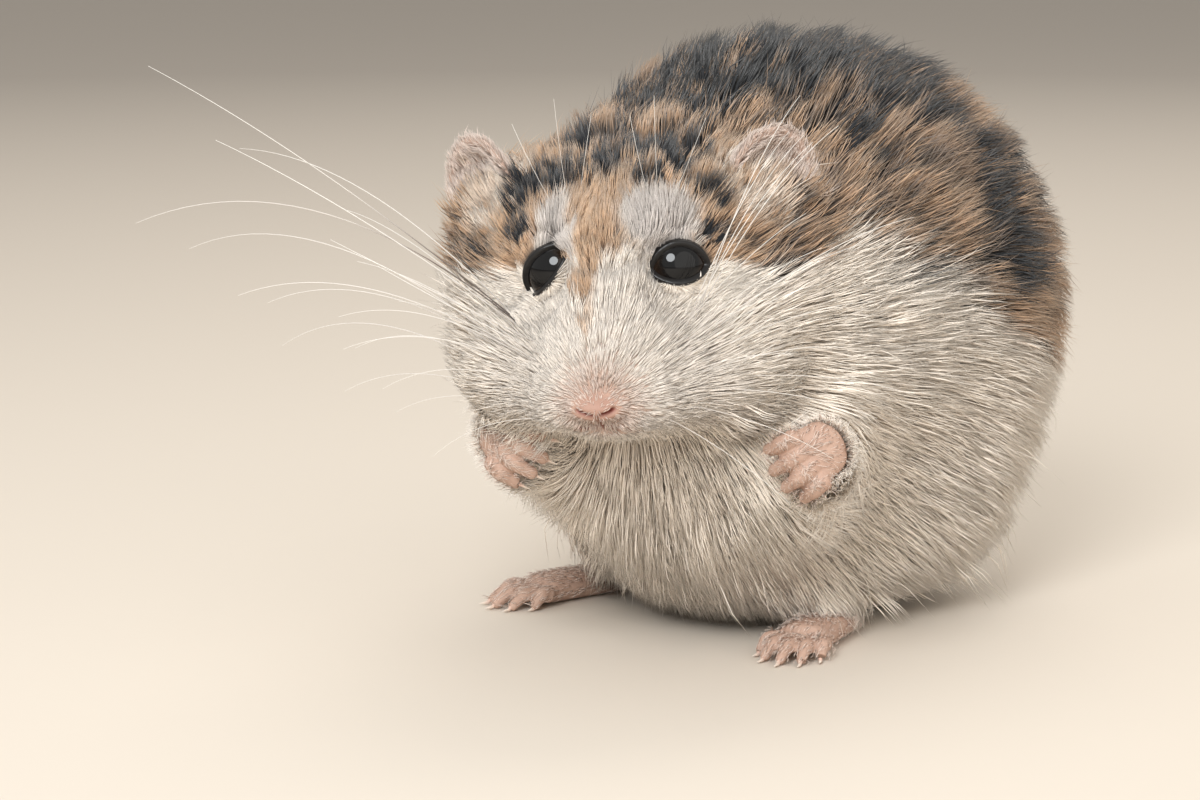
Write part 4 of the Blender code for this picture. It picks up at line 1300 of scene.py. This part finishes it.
CAMERA_AZIMUTH, CAMERA_HEIGHT = math.radians(40), math.radians(10)
CAMERA_AIM = Vector((-0.7, 4.9, 19.5))  # middle of the body
CAMERA_OFFSET = (11.5, 5.7, 236.0)  # how far the camera stands left of it, under it and before it
FLOOR_RADIUS = 6000
LAMP_DISTANCE = 420
FLOOR_SHADE_BY = 2.0  # how far the floor darkens in a metre, as a share


def floor_material():
    material, tree, shader = new_material("floor", 0.8, 0.2)
    place = add(tree, "ShaderNodeTexCoord").outputs["Object"]
    away = add(tree, "ShaderNodeVectorMath", {0: place}, operation="LENGTH").outputs["Value"]
    # painted shade: the floor is pale near the body and darkens far off, a painted fall-off of the light
    # round it
    stops = ((0.08, (0.68, 0.61, 0.53)), (0.9, (0.36, 0.32, 0.28)))
    fade = graded(tree, maths(tree, "MULTIPLY", away, FLOOR_SHADE_BY), *stops)
    tree.links.new(fade, shader["Base Color"])
    return material


work = bmesh.new()
bmesh.ops.create_circle(work, cap_ends=True, segments=96, radius=FLOOR_RADIUS)
rings = [[v.index for v in face.verts] for face in work.faces]
floor = object_of("floor", [v.co[:] for v in work.verts], rings)
work.free()
floor.data.materials.append(floor_material())


def looking(azimuth, height):
    """The direction in which something looks from an azimuth and a height."""
    low = -math.cos(height)
    return Vector((math.sin(azimuth) * low, -math.cos(azimuth) * low, -math.sin(height)))


def stand_at(name, what, spot, ahead):
    """A lamp or a camera at a spot, looking ahead."""
    stand = bpy.data.objects.new(name, what)
    stand.location = spot * mm
    stand.rotation_mode = "QUATERNION"
    stand.rotation_quaternion = ahead.to_track_quat("-Z", "Y")
    bpy.context.scene.collection.objects.link(stand)
    return stand


def lamp(name, azimuth, height, size, power, colour):
    """A round soft lamp that looks at the body. Azimuth 0 is before -Y."""
    light = bpy.data.lights.new(name, "AREA")
    light.shape = "DISK"
    light.size = size * mm
    light.energy = power
    light.color = colour
    ahead = looking(math.radians(azimuth), math.radians(height))
    stand_at(name, light, CAMERA_AIM - ahead * LAMP_DISTANCE, ahead)


lamp("window", azimuth=22, height=32, size=200, power=1.5, colour=(0.95, 0.98, 1.0))
lamp("fill lamp", azimuth=75, height=14, size=620, power=0.7, colour=(1.0, 0.96, 0.90))
lamp("back lamp", azimuth=200, height=50, size=300, power=0.5, colour=(1.0, 0.95, 0.88))
world = bpy.data.worlds.new("room")
world.use_nodes = True
world.node_tree.nodes["Background"].inputs["Color"].default_value = (0.86, 0.84, 0.80, 1)
world.node_tree.nodes["Background"].inputs["Strength"].default_value = 0.85
bpy.context.scene.world = world

right = Vector((math.cos(CAMERA_AZIMUTH), math.sin(CAMERA_AZIMUTH), 0))
ahead = looking(CAMERA_AZIMUTH, CAMERA_HEIGHT)
above = right.cross(ahead)
lens = bpy.data.cameras.new("camera")
lens.lens = 105
lens.sensor_width = 36
lens.clip_start = 0.01
spot = CAMERA_AIM - right * CAMERA_OFFSET[0] - above * CAMERA_OFFSET[1] - ahead * CAMERA_OFFSET[2]
camera = stand_at("camera", lens, spot, ahead)
bpy.context.scene.camera = camera
bpy.context.scene.view_settings.view_transform = "Standard"
